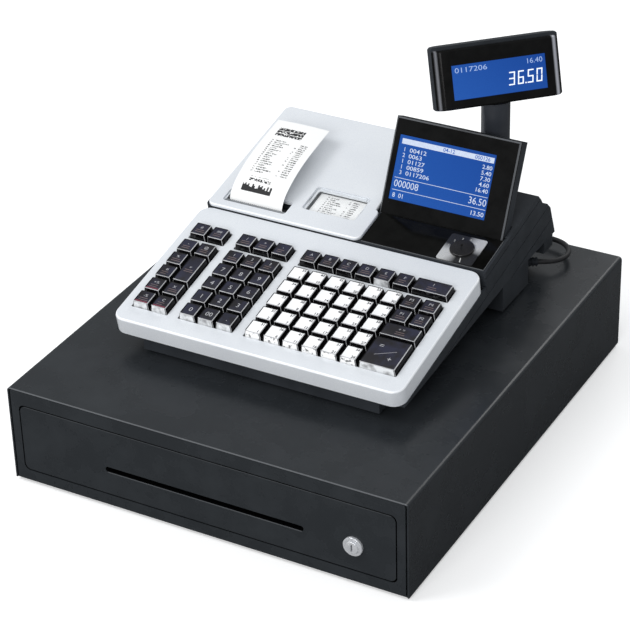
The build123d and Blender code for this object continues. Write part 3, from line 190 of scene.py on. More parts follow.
def coat_faces(piece, index, test):
    """Gives the faces that pass a test the piece's coat of that number."""
    for face in piece.data.polygons:
        if test(face):
            face.material_index = index


# ---------------------------------------------------------------- shader maths
class Value:
    """A number or colour that changes over a surface. Arithmetic on it adds Math nodes."""

    def __init__(self, coat, socket):
        self.coat = coat
        self.socket = socket

    def maths(self, operation, *values):
        return self.coat.node("Math", {"operation": operation}, dict(enumerate(values)))

    def __add__(self, other):
        return self.maths("ADD", self, other)

    def __sub__(self, other):
        return self.maths("SUBTRACT", self, other)

    def __rsub__(self, other):
        return self.maths("SUBTRACT", other, self)

    def __mul__(self, other):
        return self.maths("MULTIPLY", self, other)

    def __truediv__(self, other):
        return self.maths("DIVIDE", self, other)

    def __gt__(self, other):
        return self.maths("GREATER_THAN", self, other)

    def __lt__(self, other):
        return self.maths("LESS_THAN", self, other)

    __radd__ = __add__
    __rmul__ = __mul__

    def floor(self):
        return self.maths("FLOOR", self)

    def fraction(self):
        return self.maths("FRACT", self)

    def absolute(self):
        return self.maths("ABSOLUTE", self)

    def root(self):
        return self.maths("SQRT", self)

    def cosine(self):
        return self.maths("COSINE", self)

    def at_most(self, limit):
        return self.maths("MINIMUM", self, limit)

    def between(self, low, high):
        return (self > low) * (self < high)


class Coat:
    """A material. One method adds any node, and the rest name what a finish is made of."""

    def __init__(self, name, **sockets):
        self.material = bpy.data.materials.new(name)
        self.material.use_nodes = True
        self.tree = self.material.node_tree
        self.shader = self.tree.nodes["Principled BSDF"]
        self.set(**sockets)

    def set(self, **sockets):
        """Sets or links the shader's sockets: base_color is Base Color."""
        for name, value in sockets.items():
            title = " ".join(word.capitalize() for word in name.split("_"))
            title = title.replace("Ior", "IOR")
            self.plug(self.shader.inputs[title], value)
        return self

    def plug(self, socket, value):
        if isinstance(value, Value):
            self.tree.links.new(value.socket, socket)
        elif isinstance(value, tuple) and socket.type == "RGBA":
            socket.default_value = (*value[:3], 1)
        else:
            socket.default_value = value

    def node(self, kind, settings, sockets, output=0):
        """Adds a node: first its settings, then the values or links of its sockets."""
        node = self.tree.nodes.new("ShaderNode" + kind)
        for name, value in settings.items():
            setattr(node, name, value)
        for name, value in sockets.items():
            self.plug(node.inputs[name], value)
        return Value(self, node.outputs[output])

    def place(self):
        """The place on the object, in metres."""
        return self.node("TexCoord", {}, {}, "Object")

    def seen_in(self, drawing):
        """The place in a drawing frame, as three numbers in its millimetres."""
        sockets = {"Vector": self.place(), "Location": drawing.to_translation(),
                   "Rotation": drawing.to_euler(), "Scale": drawing.to_scale()}
        return self.split(self.node("Mapping", {"vector_type": "TEXTURE"}, sockets))

    def split(self, vector):
        return [self.node("SeparateXYZ", {}, {0: vector}, axis) for axis in "XYZ"]

    def noise(self, size, detail=3.0, rough=0.55, stretch=(1, 1, 1)):
        """Noise whose grains are about this many millimetres across."""
        at = self.node("Mapping", {}, {"Vector": self.place(), "Scale": stretch})
        sockets = {"Vector": at, "Scale": 1 / (size * MM), "Detail": detail, "Roughness": rough}
        return self.node("TexNoise", {}, sockets, "Fac")

    def ramp(self, value, low, high, at_low=0.0, at_high=1.0):
        """Runs evenly from one value to another while the given one goes from low to high."""
        sockets = {"Value": value, "From Min": low, "From Max": high, "To Min": at_low, "To Max": at_high}
        return self.node("MapRange", {}, sockets)

    def mix(self, share, first, second):
        """A colour between two."""
        sockets = {0: share, 6: first, 7: second}
        return self.node("Mix", {"data_type": "RGBA"}, sockets, 2)

    def bump(self, height, depth, strength=1.0):
        """A relief, its depth in millimetres."""
        sockets = {"Height": height, "Distance": depth * MM, "Strength": strength}
        return self.node("Bump", {}, sockets)


def as_light(level):
    """One part of a paint card's colour, from 0 to 255, as light from 0 to 1."""
    share = level / 255
    return ((share + 0.055) / 1.055) ** 2.4 if level > 10 else share / 12.92


def paint(red, green, blue):
    """A paint card's colour, as light."""
    return (as_light(red), as_light(green), as_light(blue))


def toned(colour, times, plus=0.0):
    """A colour made lighter or darker."""
    return tuple(part * times + plus for part in colour)


# ---------------------------------------------------------------- finishes
EDGE_LIGHT = paint(98, 100, 103)         # an edge that catches the light
PAINTED_WINDOW = paint(186, 188, 196)      # a painted reflection of a window, on a rounded end
GAP_SHADE = paint(6, 6, 7)               # a gap that no light reaches

# the drawer's front, in metres
FACE_Y = -0.2251             # its foremost faces
COVER_EDGE_Z = 0.0985        # front edge of the cover's top
FRONT_EDGE = (0.0826, 0.084)             # heights of the drawer front's upper edge
FRONT_REACH = 0.184          # and how far it goes to either side
SLOT_EDGE = (0.0389, 0.0396)             # heights of the slot's lower edge
SLOT_REACH = 0.098
GAP_DEPTH = (-0.2249, -0.2)              # the gap round the front, from front to back
GAP_HEIGHT = (0.0145, 0.0846)
GAP_REACH = 0.1895


def drawer_edge(coat):
    """Edges that catch the light: the cover's, the drawer front's upper and its slot's lower one."""
    x, y, z = coat.split(coat.place())
    face = (y < FACE_Y)
    cover = z > COVER_EDGE_Z
    front = z.between(*FRONT_EDGE) * (x.absolute() < FRONT_REACH)
    slot = z.between(*SLOT_EDGE) * (x.absolute() < SLOT_REACH)
    return face * (cover + front * 0.35 + slot * 0.6).at_most(1.0)


def drawer_gap(coat):
    """The walls of the gap round the drawer front and of its slot, which no light reaches."""
    x, y, z = coat.split(coat.place())
    return y.between(*GAP_DEPTH) * z.between(*GAP_HEIGHT) * (x.absolute() < GAP_REACH)


def powder_coat(name, colour, roughness, specular, lit_edge=None, shaded_gap=None):
    """Stoved paint on sheet steel: a faint orange peel and a little dust."""
    coat = Coat(name, specular_ior_level=specular)
    peel = coat.noise(1.1, 2.0)
    dust = coat.noise(38.0, 4.0, 0.6)
    lifted = toned(colour, 1.22, 0.0015)
    shade = coat.mix(coat.ramp(dust, 0.42, 0.7), colour, lifted)
    # where a piece asks for them, a painted highlight on its edges and painted shade in its gaps
    if lit_edge:
        shade = coat.mix(lit_edge(coat), shade, EDGE_LIGHT)
    if shaded_gap:
        shade = coat.mix(shaded_gap(coat), shade, GAP_SHADE)
    rough = coat.ramp(dust, 0.3, 0.75, roughness - 0.03, roughness + 0.05)
    return coat.set(base_color=shade, roughness=rough, normal=coat.bump(peel, 0.012))


def moulded(name, colour, roughness, grain=0.35, depth=0.02, specular=0.5):
    """A moulded case with a fine spark grain."""
    coat = Coat(name, specular_ior_level=specular)
    spark = coat.noise(grain, 2.0)
    cloud = coat.noise(24.0, 3.0)
    lifted = toned(colour, 1.25, 0.001)
    shade = coat.mix(coat.ramp(cloud, 0.35, 0.7), colour, lifted)
    rough = coat.ramp(spark, 0.3, 0.7, roughness - 0.04, roughness + 0.06)
    return coat.set(base_color=shade, roughness=rough, normal=coat.bump(spark, depth))


# rounded edges on the keyboard's slope, where a highlight is painted: heights above it, and the flat that
# they run round
BEZEL_EDGE = (-1.5, -0.1)
BEZEL_FLAT_ACROSS = (-139, 133)
BEZEL_FLAT_UP = (17, 143)
BEZEL_END = 168
COVER_EDGE = (2.3, 3.42)
COVER_FLAT_ACROSS = (-137, 5)
COVER_FLAT_UP = (177, 231)


def silver_rim(coat):
    """The rounded upper edges of the bezel and the printer cover, where a highlight is painted on."""
    across, up, over = coat.seen_in(KEYBOARD)
    bezel_flat = across.between(*BEZEL_FLAT_ACROSS) * up.between(*BEZEL_FLAT_UP)
    cover_flat = across.between(*COVER_FLAT_ACROSS) * up.between(*COVER_FLAT_UP)
    bezel = over.between(*BEZEL_EDGE) * (1 - bezel_flat)
    cover = over.between(*COVER_EDGE) * (1 - cover_flat)
    return (bezel * (up < BEZEL_END) + cover).at_most(1.0)


def silver_lacquer():
    """Silver lacquer: a fine metal flake under a thin clear coat."""
    coat = Coat("silver_lacquer", metallic=0.08, specular_ior_level=0.4)
    coat.set(coat_weight=0.35, coat_roughness=0.14)
    flake = coat.noise(0.45, 1.0)
    cloud = coat.noise(60.0, 2.0)
    base = coat.mix(coat.ramp(cloud, 0.3, 0.7), paint(230, 233, 237), paint(236, 239, 242))
    shade = coat.mix(coat.ramp(flake, 0.35, 0.68, 0.0, 0.45), base, paint(198, 204, 213))
    # a painted highlight along the rounded upper edges
    shade = coat.mix(silver_rim(coat) * 0.75, shade, paint(250, 252, 255))
    rough = coat.ramp(flake, 0.3, 0.7, 0.30, 0.42)
    return coat.set(base_color=shade, roughness=rough, normal=coat.bump(flake, 0.008))


def gloss(name, colour, roughness=0.06, specular=0.5, lifted=None, lit_edge=None, light=EDGE_LIGHT):
    """Polished plastic with the faintest ripple and handling haze, and edges that catch the light."""
    coat = Coat(name, specular_ior_level=specular)
    haze = coat.noise(16.0, 4.0, 0.6)
    ripple = coat.noise(9.0, 1.0)
    if lifted is None:
        lifted = toned(colour, 1.3, 0.0008)
    shade = coat.mix(coat.ramp(haze, 0.4, 0.6), colour, lifted)
    if lit_edge:
        shade = coat.mix(lit_edge(coat), shade, light)
    rough = coat.ramp(haze, 0.35, 0.75, roughness, roughness + 0.05)
    return coat.set(base_color=shade, roughness=rough, normal=coat.bump(ripple, 0.01))


PANEL_LIP = 173.1            # the panel's front, up the slope; its lip and right side get a painted highlight
PANEL_SIDE = 142.1           # and its right side
FACE_BEVEL = (-1.5, -0.15)   # the bevel round the operator display's face, behind its front, which gets a painted highlight
WINDOW_ACROSS = (18.5, 136.0)
WINDOW_UP = (2.5, 87.0)
HEAD_RIGHT = 54.8            # the painted reflection streaks on the customer display's ends
HEAD_LEFT = -57.4


def panel_edge(coat):
    """The panel's front lip and its right side, where a highlight is painted."""
    across, up, _ = coat.seen_in(KEYBOARD)
    return ((up < PANEL_LIP) + (across > PANEL_SIDE)).at_most(1.0)


def display_edge(coat):
    """The bevel round the operator display's face, where a highlight is painted, and not the walls of its
    window.
    """
    across, up, out = coat.seen_in(DISPLAY)
    rim = 1 - across.between(*WINDOW_ACROSS) * up.between(*WINDOW_UP)
    return out.between(*FACE_BEVEL) * rim


def head_edge(coat):
    """The rounded ends of the customer display, where the reflection of a bright window is painted on as
    streaks.
    """
    across, _, _ = coat.seen_in(HEAD)
    right = coat.ramp((across - HEAD_RIGHT).absolute(), 0.7, 2.6, 0.8, 0.0)
    left = coat.ramp((across - HEAD_LEFT).absolute(), 0.3, 1.6, 0.3, 0.0)
    return right + left


def blotchy(name, dark, bright, size, low, high):
    """A clear cap's front, where the label behind it shows in patches."""
    coat = Coat(name, specular_ior_level=0.3, roughness=0.16)
    patch = coat.noise(size, 2.0, 0.5)
    grain = coat.noise(0.8, 2.0)
    shade = coat.mix(coat.ramp(patch, low, high), dark, bright)
    return coat.set(base_color=shade, normal=coat.bump(grain, 0.01))


SWITCH = (112.0, 192.4)      # the mode switch on the keyboard's slope


def turned_steel():
    """Steel turned round the switch: its fine rings are a relief, and the two bright and two dark wedges that
    they reflect are painted in by angle.
    """
    coat = Coat("turned_steel", metallic=0.35, specular_ior_level=0.4)
    across, up, _ = coat.seen_in(KEYBOARD)
    across = across - SWITCH[0]
    up = up - SWITCH[1]
    angle = up.maths("ARCTAN2", up, across)
    # the reflection's bright and dark wedges, painted in by the angle round the switch
    reflection_wedge = (angle * 2 - 1.3).cosine()
    radius = (across * across + up * up).root()
    ring = (radius * 2.2).fraction()
    shade = coat.mix(coat.ramp(reflection_wedge, -0.25, 0.85), paint(46, 46, 47), paint(214, 214, 213))
    rough = coat.ramp(ring, 0, 1, 0.24, 0.34)
    return coat.set(base_color=shade, roughness=rough, normal=coat.bump(ring, 0.01))


def brushed(name, colour, roughness, stretch=(0.03, 1, 1)):
    """Metal drawn or brushed along one axis."""
    coat = Coat(name, metallic=1.0)
    line = coat.noise(0.25, 3.0, 0.6, stretch)
    darker = toned(colour, 0.8)
    shade = coat.mix(coat.ramp(line, 0.3, 0.7), darker, colour)
    rough = coat.ramp(line, 0.3, 0.7, roughness + 0.08, roughness - 0.05)
    return coat.set(base_color=shade, roughness=rough, normal=coat.bump(line, 0.01))


def chrome():
    coat = Coat("lock_chrome", metallic=0.45)
    haze = coat.noise(3.0, 4.0)
    shade = coat.mix(coat.ramp(haze, 0.35, 0.7), paint(226, 227, 230), paint(198, 200, 205))
    return coat.set(base_color=shade, roughness=coat.ramp(haze, 0.3, 0.75, 0.08, 0.22))


def rubber(name, colour):
    coat = Coat(name, specular_ior_level=0.35)
    pores = coat.noise(0.5, 3.0)
    wear = coat.noise(9.0, 3.0)
    lifted = toned(colour, 1.5, 0.004)
    shade = coat.mix(coat.ramp(wear, 0.4, 0.75), colour, lifted)
    rough = coat.ramp(pores, 0.3, 0.7, 0.5, 0.66)
    return coat.set(base_color=shade, roughness=rough, normal=coat.bump(pores, 0.03))


def paper(name="plain_paper"):
    coat = Coat(name, specular_ior_level=0.25)
    fibre = coat.noise(0.6, 4.0)
    shade = coat.mix(coat.ramp(fibre, 0.3, 0.75), paint(242, 242, 240), paint(250, 250, 249))
    return coat.set(base_color=shade, roughness=0.62, normal=coat.bump(fibre, 0.004))


ROLL_Y = 0.146               # the rolls' axis, in metres
ROLL_Z = 0.152
RINGS_PER_METRE = 1600


def paper_roll_coat():
    """A roll's paper: its wound layers show as rings on the ends."""
    coat = Coat("rolled_paper", specular_ior_level=0.25)
    _, y, z = coat.split(coat.place())
    out = (y - ROLL_Y) * (y - ROLL_Y) + (z - ROLL_Z) * (z - ROLL_Z)
    ring = (out.root() * RINGS_PER_METRE).fraction()
    layer = (ring - 0.5).absolute()
    shade = coat.mix(coat.ramp(layer, 0.0, 0.5), paint(226, 226, 222), paint(247, 247, 245))
    return coat.set(base_color=shade, roughness=0.66, normal=coat.bump(layer, 0.03))


def window_glass():
    coat = Coat("window_glass", transmission_weight=0.0, specular_ior_level=0.6)
    haze = coat.noise(12.0, 3.0)
    return coat.set(base_color=paint(232, 238, 242), roughness=coat.ramp(haze, 0.3, 0.7, 0.05, 0.1),
                    alpha=coat.ramp(haze, 0.3, 0.7, 0.04, 0.07))


TRACKS_PER_METRE = 400
RUNS_PER_METRE = 40


def circuit_board():
    """Green board with paler tracks under its lacquer."""
    coat = Coat("circuit_board", specular_ior_level=0.5)
    x, y, _ = coat.split(coat.place())
    lane = x * TRACKS_PER_METRE
    cell = lane.floor() * 7.3 + (y * RUNS_PER_METRE).floor() * 3.1
    lottery = (cell.maths("SINE", cell) * 917.0).fraction()
    track = lane.fraction().between(0.35, 0.75) * (lottery > 0.4)
    shade = coat.mix(track, paint(18, 74, 40), paint(46, 118, 66))
    return coat.set(base_color=shade, roughness=0.32, normal=coat.bump(track, 0.05))


DOTS_PER_MM = 1.4
DOT_GAP = 0.16               # share of the dots' pitch


def backlit_screen(name, drawing, low, high):
    """A blue screen lit from behind, a little brighter toward one corner, with its fine grid of dots."""
    coat = Coat(name, specular_ior_level=0.2, roughness=0.18)
    x, y, _ = coat.seen_in(drawing)
    dots = ((x * DOTS_PER_MM).fraction() > DOT_GAP) * ((y * DOTS_PER_MM).fraction() > DOT_GAP)
    fall = coat.ramp(x + y, low, high, 1.0, 0.0)
    blue = coat.mix(fall, paint(18, 70, 160), paint(44, 102, 196))
    shade = coat.mix(dots, paint(20, 66, 150), blue)
    coat.set(base_color=(0.0, 0.01, 0.04), emission_color=shade)
    coat.shader.inputs["Emission Strength"].default_value = 0.8
    return coat


def lit_marks(name, colour, strength):
    """Screen marks that give their own light, a little uneven like a lit segment."""
    coat = Coat(name, base_color=toned(colour, 0.3), roughness=0.3)
    glow = coat.noise(2.0, 2.0)
    dim = toned(colour, 0.86)
    coat.set(emission_color=coat.mix(coat.ramp(glow, 0.35, 0.65), dim, colour))
    coat.shader.inputs["Emission Strength"].default_value = strength
    return coat


def cell_lottery(coat, across, up):
    """A number from 0 to 1 that changes from cell to cell."""
    at = coat.node("CombineXYZ", {}, {"X": across.floor(), "Y": up.floor()})
    return coat.node("TexWhiteNoise", {"noise_dimensions": "2D"}, {"Vector": at}, "Value")


# the print on a strip, in millimetres: left and right edges of its columns, and heights
STRIP_WIDTH = 56.3
LINE_PITCH = 2.9             # listed items
COUNTS = (9.5, 11.5)
NAMES_FROM = 13.5
NAMES_TO = (20, 31)          # the shortest and the longest
RATES = (36.5, 38.5)
AMOUNTS = (41, 48.5)
HEADING = (8.5, 37.0)
HEADING_PITCH = 4.6
BOLD = (13, 36)              # two bold lines
BOLD_PITCH = 5.2
BOLD_RISE = 11               # above the foot of the bar
BAR = (9, 40.5)
BAR_HEIGHTS = (4.0, 8.5)


def printed_paper(name, length, header, sale, items):
    """Receipt paper with generic print, read from the piece's own map.

    header, sale and items are the stretches up the strip that hold a dark heading, two bold lines
    over a dark jagged bar, and the listed items."""
    coat = Coat(name, specular_ior_level=0.2)
    map_at = coat.node("TexCoord", {}, {}, "UV")
    u, v, _ = coat.split(map_at)
    u = u * STRIP_WIDTH
    v = v * length
    row = v / LINE_PITCH
    line = row.fraction().between(0.28, 0.80)
    letters = cell_lottery(coat, u / 0.75, v / 0.5) > 0.42
    reach = coat.ramp(cell_lottery(coat, u * 0 + 3, row), 0, 1, *NAMES_TO)
    left_column = u.between(*COUNTS) + (u > NAMES_FROM) * (u < reach)
    rates = u.between(*RATES) * (cell_lottery(coat, u * 0 + 5, row) > 0.35)
    right_column = rates + u.between(*AMOUNTS)
    listed = (left_column + right_column) * line * letters * v.between(*items)
    heading = u.between(*HEADING) * v.between(*header) * (cell_lottery(coat, u / 1.1, v / 1.3) > 0.16)
    heading_gap = (v / HEADING_PITCH).fraction() > 0.14
    bold_lines = ((v - sale[0]) / BOLD_PITCH).fraction().between(0.2, 0.8)
    bold_rows = bold_lines * v.between(sale[0] + BOLD_RISE, sale[1])
    bold = bold_rows * u.between(*BOLD) * (cell_lottery(coat, u / 1.4, v / 0.9) > 0.38)
    jag = coat.ramp(cell_lottery(coat, u / 1.6, u * 0 + 9), 0, 1, *BAR_HEIGHTS)
    bar = u.between(*BAR) * (v > sale[0]) * (v < jag + sale[0])
    ink = (listed + heading * heading_gap + bold + bar)
    fibre = coat.noise(0.6, 3.0)
    sheet = coat.mix(coat.ramp(fibre, 0.3, 0.75), paint(244, 244, 243), paint(251, 251, 250))
    share = ink.at_most(1.0) * 0.98
    shade = coat.mix(share, sheet, paint(22, 22, 25))
    return coat.set(base_color=shade, roughness=0.6, normal=coat.bump(fibre, 0.004))


coats = {
    "drawer": powder_coat("charcoal_powder_coat", paint(38, 41, 44), 0.27, 0.24, drawer_edge, drawer_gap),
    "steel": brushed("bright_steel", paint(180, 182, 186), 0.32),
    "rubber": rubber("black_rubber", paint(34, 34, 35)),
    "tray": moulded("tray_plastic", paint(44, 44, 47), 0.45, 0.5, 0.03),
    "solenoid": brushed("plated_steel", paint(150, 150, 148), 0.38),
    "chrome": chrome(),
    "silver": silver_lacquer(),
    "black": moulded("black_moulding", paint(47, 50, 54), 0.44, 0.45, 0.03, 0.07),
    "board": circuit_board(),
    "gloss_black": gloss("gloss_black", paint(13, 13, 13), 0.08, 0.07, lit_edge=head_edge,
                         light=PAINTED_WINDOW),
    "panel": gloss("gloss_panel", paint(11, 11, 10), 0.06, 0.05, lit_edge=panel_edge),
    "display_frame": gloss("display_frame", paint(16, 16, 16), 0.1, 0.06, lit_edge=display_edge),
    "window": window_glass(),
    "paper": paper(),
    "roll": paper_roll_coat(),
    "pole": powder_coat("pole_coat", paint(48, 51, 57), 0.28, 0.45),
    "cord": rubber("cord_sheath", paint(26, 26, 28)),
    "mode_plate": turned_steel(),
    "rotor": gloss("rotor_black", paint(30, 29, 30), 0.16, 0.3),
    "dark_label": gloss("dark_label", paint(42, 41, 44), 0.18, 0.12, paint(50, 51, 66)),
    # a painted highlight along the caps' front and right edges and front corners
    "cap_highlight": gloss("clear_cap_edge", paint(170, 170, 172), 0.2, 0.3),
    "pale_front": blotchy("pale_cap_front", paint(150, 151, 153), paint(222, 224, 226), 7.0, 0.3, 0.55),
    "dark_front": blotchy("dark_cap_front", paint(13, 13, 14), paint(58, 58, 60), 3.2, 0.6, 0.72),
    "white_front": blotchy("white_cap_front", paint(120, 120, 120), paint(248, 248, 248), 4.0, 0.36, 0.46),
    "white_cap": gloss("white_cap", paint(250, 250, 251), 0.25, 0.15, paint(253, 253, 254)),
    "dark_side": gloss("cap_shadow_side", paint(13, 13, 14), 0.2, 0.1),
    "legend": moulded("legend_ink", paint(168, 168, 172), 0.5, 0.3, 0.002),
    "warm_legend": moulded("warm_legend_ink", paint(96, 82, 82), 0.5, 0.3, 0.002),
    "switch_ink": moulded("switch_ink", paint(190, 190, 188), 0.4, 0.3, 0.002),
    "black_ink": moulded("black_ink", paint(34, 34, 40), 0.5, 0.3, 0.002),
    "rose_ink": moulded("rose_ink", paint(112, 42, 58), 0.5, 0.3, 0.002),
    "screen": backlit_screen("blue_screen", DISPLAY, 30, 230),
    "head_screen": backlit_screen("blue_head_screen", HEAD, -60, 70),
    "screen_marks": lit_marks("screen_marks", paint(208, 220, 242), 0.72),
    "head_marks": lit_marks("bright_segments", paint(236, 244, 255), 1.0),
    "dim_marks": lit_marks("dim_marks", paint(160, 186, 232), 0.8),
    "blue_ink": lit_marks("screen_blue", paint(34, 88, 178), 0.8),
}

NODE_COATS = {
    "drawer": ("drawer_cover", "drawer_chassis", "drawer_bezel", "drawer_front", "drawer_box"),
    "steel": ("slide_rails", "clip_rod", "latch_hook", "ejector_spring", "hinge_pins", "customer_pin",
              "case_screws", "tear_bar"),
    "rubber": ("rubber_feet", "platen_roller"),
    "tray": ("cash_tray", "note_clip_1", "note_clip_2", "note_clip_3", "note_clip_4"),
    "solenoid": ("solenoid",),
    "chrome": ("lock_ring", "lock_cylinder"),
    "silver": ("keyboard_bezel", "printer_cover"),
    "black": ("lower_case", "rear_housing", "key_guide", "printer_frame", "pole_base", "strain_relief",
              "display_back", "customer_back", "cord_plug"),
    "board": ("circuit_boards",),
    "gloss_black": ("customer_front",),
    "panel": ("glossy_panel",),
    "display_frame": ("display_front",),
    "window": ("journal_window",),
    "roll": ("receipt_roll", "journal_roll"),
    "pole": ("pole",),
    "mode_plate": ("mode_plate",),
    "rotor": ("mode_rotor",),
    "screen": ("display_lcd",),
    "head_screen": ("customer_lcd",),
}


def coat_nodes():
    """Gives each piece of the construction its finish."""
    for coat, names in NODE_COATS.items():
        for name in names:
            nodes[name].data.materials.clear()
            nodes[name].data.materials.append(coats[coat].material)


# ---------------------------------------------------------------- camera, light and floor
CAMERA_PLACE = (0.91769, -1.63314, 1.23771)
CAMERA_TURN = (1.02708, 0.02575, 0.50136)
CAMERA_LENS = 135.5
SKY = (0.94, 0.97, 1.0, 1)
SKY_STRENGTH = 0.5
FLOOR_SIZE = 12
FLOOR_GLOW = 0.34
FLOOR_TONE = (0.86, 0.86, 0.86)
FLOOR_MIRRORED = (0.14, 0.14, 0.14)      # darker in a mirror image, as a room is
UNLIT = (0.0, 0.0, 0.0)
FULLY_LIT = (1.0, 1.0, 1.0)


def set_camera():
    bpy.ops.object.camera_add(location=CAMERA_PLACE, rotation=CAMERA_TURN)
    camera = bpy.context.object
    camera.data.lens = CAMERA_LENS
    bpy.context.scene.camera = camera


def add_lamp(name, place, aim, width, height, power):
    bpy.ops.object.light_add(type="AREA", location=place)
    lamp = bpy.context.object
    lamp.name = name
    lamp.data.shape = "RECTANGLE"
    lamp.data.size = width
    lamp.data.size_y = height
    lamp.data.energy = power
    lamp.rotation_euler = (Vector(aim) - Vector(place)).to_track_quat("-Z", "Y").to_euler()


def set_studio():
    """A white room: an even sky, soft lamps over the left and before the front, and one behind."""
    scene = bpy.context.scene
    scene.view_settings.view_transform = "Standard"
    world = bpy.data.worlds.new("studio")
    scene.world = world
    world.use_nodes = True
    sky = world.node_tree.nodes["Background"]
    sky.inputs["Color"].default_value = SKY
    sky.inputs["Strength"].default_value = SKY_STRENGTH
    add_lamp("key_lamp", (-1.6, -1.2, 2.4), (0, 0, 0.1), width=1.6, height=1.6, power=38)
    add_lamp("front_lamp", (0.35, -3.0, 1.5), (0, 0, 0.1), width=1.6, height=1.2, power=42)
    add_lamp("back_lamp", (0.3, 2.2, 1.9), (0, 0, 0.15), width=1.8, height=0.8, power=20)


def lay_floor():
    """A pale floor that reads as white and keeps the object's soft shadow."""
    bpy.ops.mesh.primitive_plane_add(size=FLOOR_SIZE)
    floor = added("floor")
    coat = Coat("white_floor", roughness=0.9, specular_ior_level=0.0)
    seen = coat.node("LightPath", {}, {}, "Is Camera Ray")
    mirrored = coat.node("LightPath", {}, {}, "Is Glossy Ray")
    passed = coat.node("LightPath", {}, {}, "Is Transmission Ray")
    coat.set(base_color=coat.mix(mirrored, FLOOR_TONE, FLOOR_MIRRORED))
    coat.set(emission_color=coat.mix((seen + passed).at_most(1.0), UNLIT, FULLY_LIT))
    coat.shader.inputs["Emission Strength"].default_value = FLOOR_GLOW
    floor.data.materials.append(coat.material)


# ---------------------------------------------------------------- power cord
CORD_RADIUS = 0.0025
CORD_ROUTE = [
    (0.1390, 0.1678, 0.1110),
    (0.1453, 0.1709, 0.1110),
    (0.1517, 0.1765, 0.1104),
    (0.1565, 0.1852, 0.1096),
    (0.1577, 0.1951, 0.1089),
    (0.1551, 0.2048, 0.1084),
    (0.1491, 0.2128, 0.1081),
    (0.1405, 0.2179, 0.1079),
    (0.1306, 0.2195, 0.1079),
    (0.1206, 0.2202, 0.1081),
    (0.1109, 0.2241, 0.1085),
    (0.1031, 0.2316, 0.1084),
    (0.0982, 0.2410, 0.1065),
    (0.0941, 0.2492, 0.1007),
    (0.0913, 0.2549, 0.0919),
    (0.0901, 0.2573, 0.0813),
    (0.0897, 0.2582, 0.0640),
    (0.0893, 0.2586, 0.0450),
    (0.0888, 0.2591, 0.0274),
    (0.0850, 0.2595, 0.0173),
    (0.0775, 0.2599, 0.0096),
    (0.0677, 0.2602, 0.0051),
    (0.0570, 0.2605, 0.0033),
    (0.0430, 0.2608, 0.0029),
    (0.0280, 0.2607, 0.00285),
]
COIL_CENTRE = (0.012, 0.2982)
COIL_INNER = 0.0225
COIL_OUTER = 0.0375
COIL_TURNS = 8.5
TURN_POINTS = 16
WOUND_TURNS = 3              # turns that each layer is wound over
OUTWARD_FROM = 5             # turn from which the coil is wound outward
CLIMB_FROM = 3.9             # turn at which it climbs onto the first layer
CLIMB_TURNS = 0.3
LOW_LAYER = 0.0028           # the layers' heights
HIGH_LAYER = 0.0078
TAIL_XS = (0.026, 0.0415)    # along the last straight, to the plug


def coil_radius(turns):
    """Wound inward over three turns, then outward over three, with plain turns between and after."""
    inward = min(turns, WOUND_TURNS)
    outward = min(max(turns - OUTWARD_FROM, 0), WOUND_TURNS)
    return COIL_OUTER - (COIL_OUTER - COIL_INNER) / WOUND_TURNS * (inward - outward)


def wound_coil():
    """The coil's points: a flat layer wound inward, and one on it wound outward."""
    points = []
    count = round(COIL_TURNS * TURN_POINTS)
    for step in range(count + 1):
        turns = step / TURN_POINTS
        angle = -math.pi / 2 - 2 * math.pi * turns
        radius = coil_radius(turns) / math.cos(math.pi / TURN_POINTS) ** 0.7
        climb = min(max((turns - CLIMB_FROM) / CLIMB_TURNS, 0), 1)
        points.append((COIL_CENTRE[0] + radius * math.cos(angle), COIL_CENTRE[1] + radius * math.sin(angle),
                       LOW_LAYER + climb * 2 * CORD_RADIUS))
    return points


def power_cord():
    top = COIL_CENTRE[1] + COIL_OUTER
    route = CORD_ROUTE + wound_coil() + [(x, top, HIGH_LAYER) for x in TAIL_XS]
    curve = bpy.data.curves.new("power_cord_line", "CURVE")
    curve.dimensions = "3D"
    curve.bevel_depth = CORD_RADIUS
    curve.bevel_resolution = 5
    curve.resolution_u = 6
    curve.use_fill_caps = True
    spline = curve.splines.new("NURBS")
    spline.points.add(len(route) - 1)
    for point, place in zip(spline.points, route):
        point.co = (*place, 1)
    spline.order_u = 3
    spline.use_endpoint_u = True
    cord = bpy.data.objects.new("mains_lead", curve)
    bpy.context.scene.collection.objects.link(cord)
    curve.materials.append(coats["cord"].material)
    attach(cord, "base")
    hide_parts("power_cord", "cord_coil")


# ---------------------------------------------------------------- keys
KEY_PITCH = 19.05
ROW_PITCH = 19.45
KEY_BASE = 17.6
KEY_LOW = -3.0
KEY_HIGH = 5.8
KEY_SLANT = 1.3
KEY_SLANT_DEPTH = 1.05
KEY_LEAN = 0.2
KEY_CORNER = 1.0
KEY_EDGE = 0.4
KEY_RIM = 0.5                # round the sunk label
LABEL_SINK = 0.25
STEM_INSET = 2.3
STEM_LOW = -11.0
LIT_RIM = 0.95               # width of the painted highlight along a cap's front and right edges
FIRST_COLUMN = -128.2
FIRST_ROW = 28.5
row_s = [FIRST_ROW + ROW_PITCH * row for row in range(5)]
top_s = row_s[4] + 24.9
left_x = [FIRST_COLUMN + KEY_PITCH * k for k in range(2)]
middle_x = [FIRST_COLUMN + 48.85 + KEY_PITCH * k for k in range(3)]
right_x = [FIRST_COLUMN + 116.55 + KEY_PITCH * k for k in range(8)]
LABEL_Z = KEY_HIGH - LABEL_SINK

# a cap's coats by number, after that of its dark sides
EDGE, LABEL, FRONT, PALE_FRONT = range(1, 5)


def key_cells(xs, ss):
    """Single keys: centre across, centre up the slope, width and depth, row by row."""
    return [(x, s, KEY_BASE, KEY_BASE) for s in ss for x in xs]


def wide_cell(x0, x1, s0, s1):
    """One key that fills the places from column x0 to x1 and row s0 to s1."""
    return [((x0 + x1) / 2, (s0 + s1) / 2, x1 - x0 + KEY_BASE, s1 - s0 + KEY_BASE)]


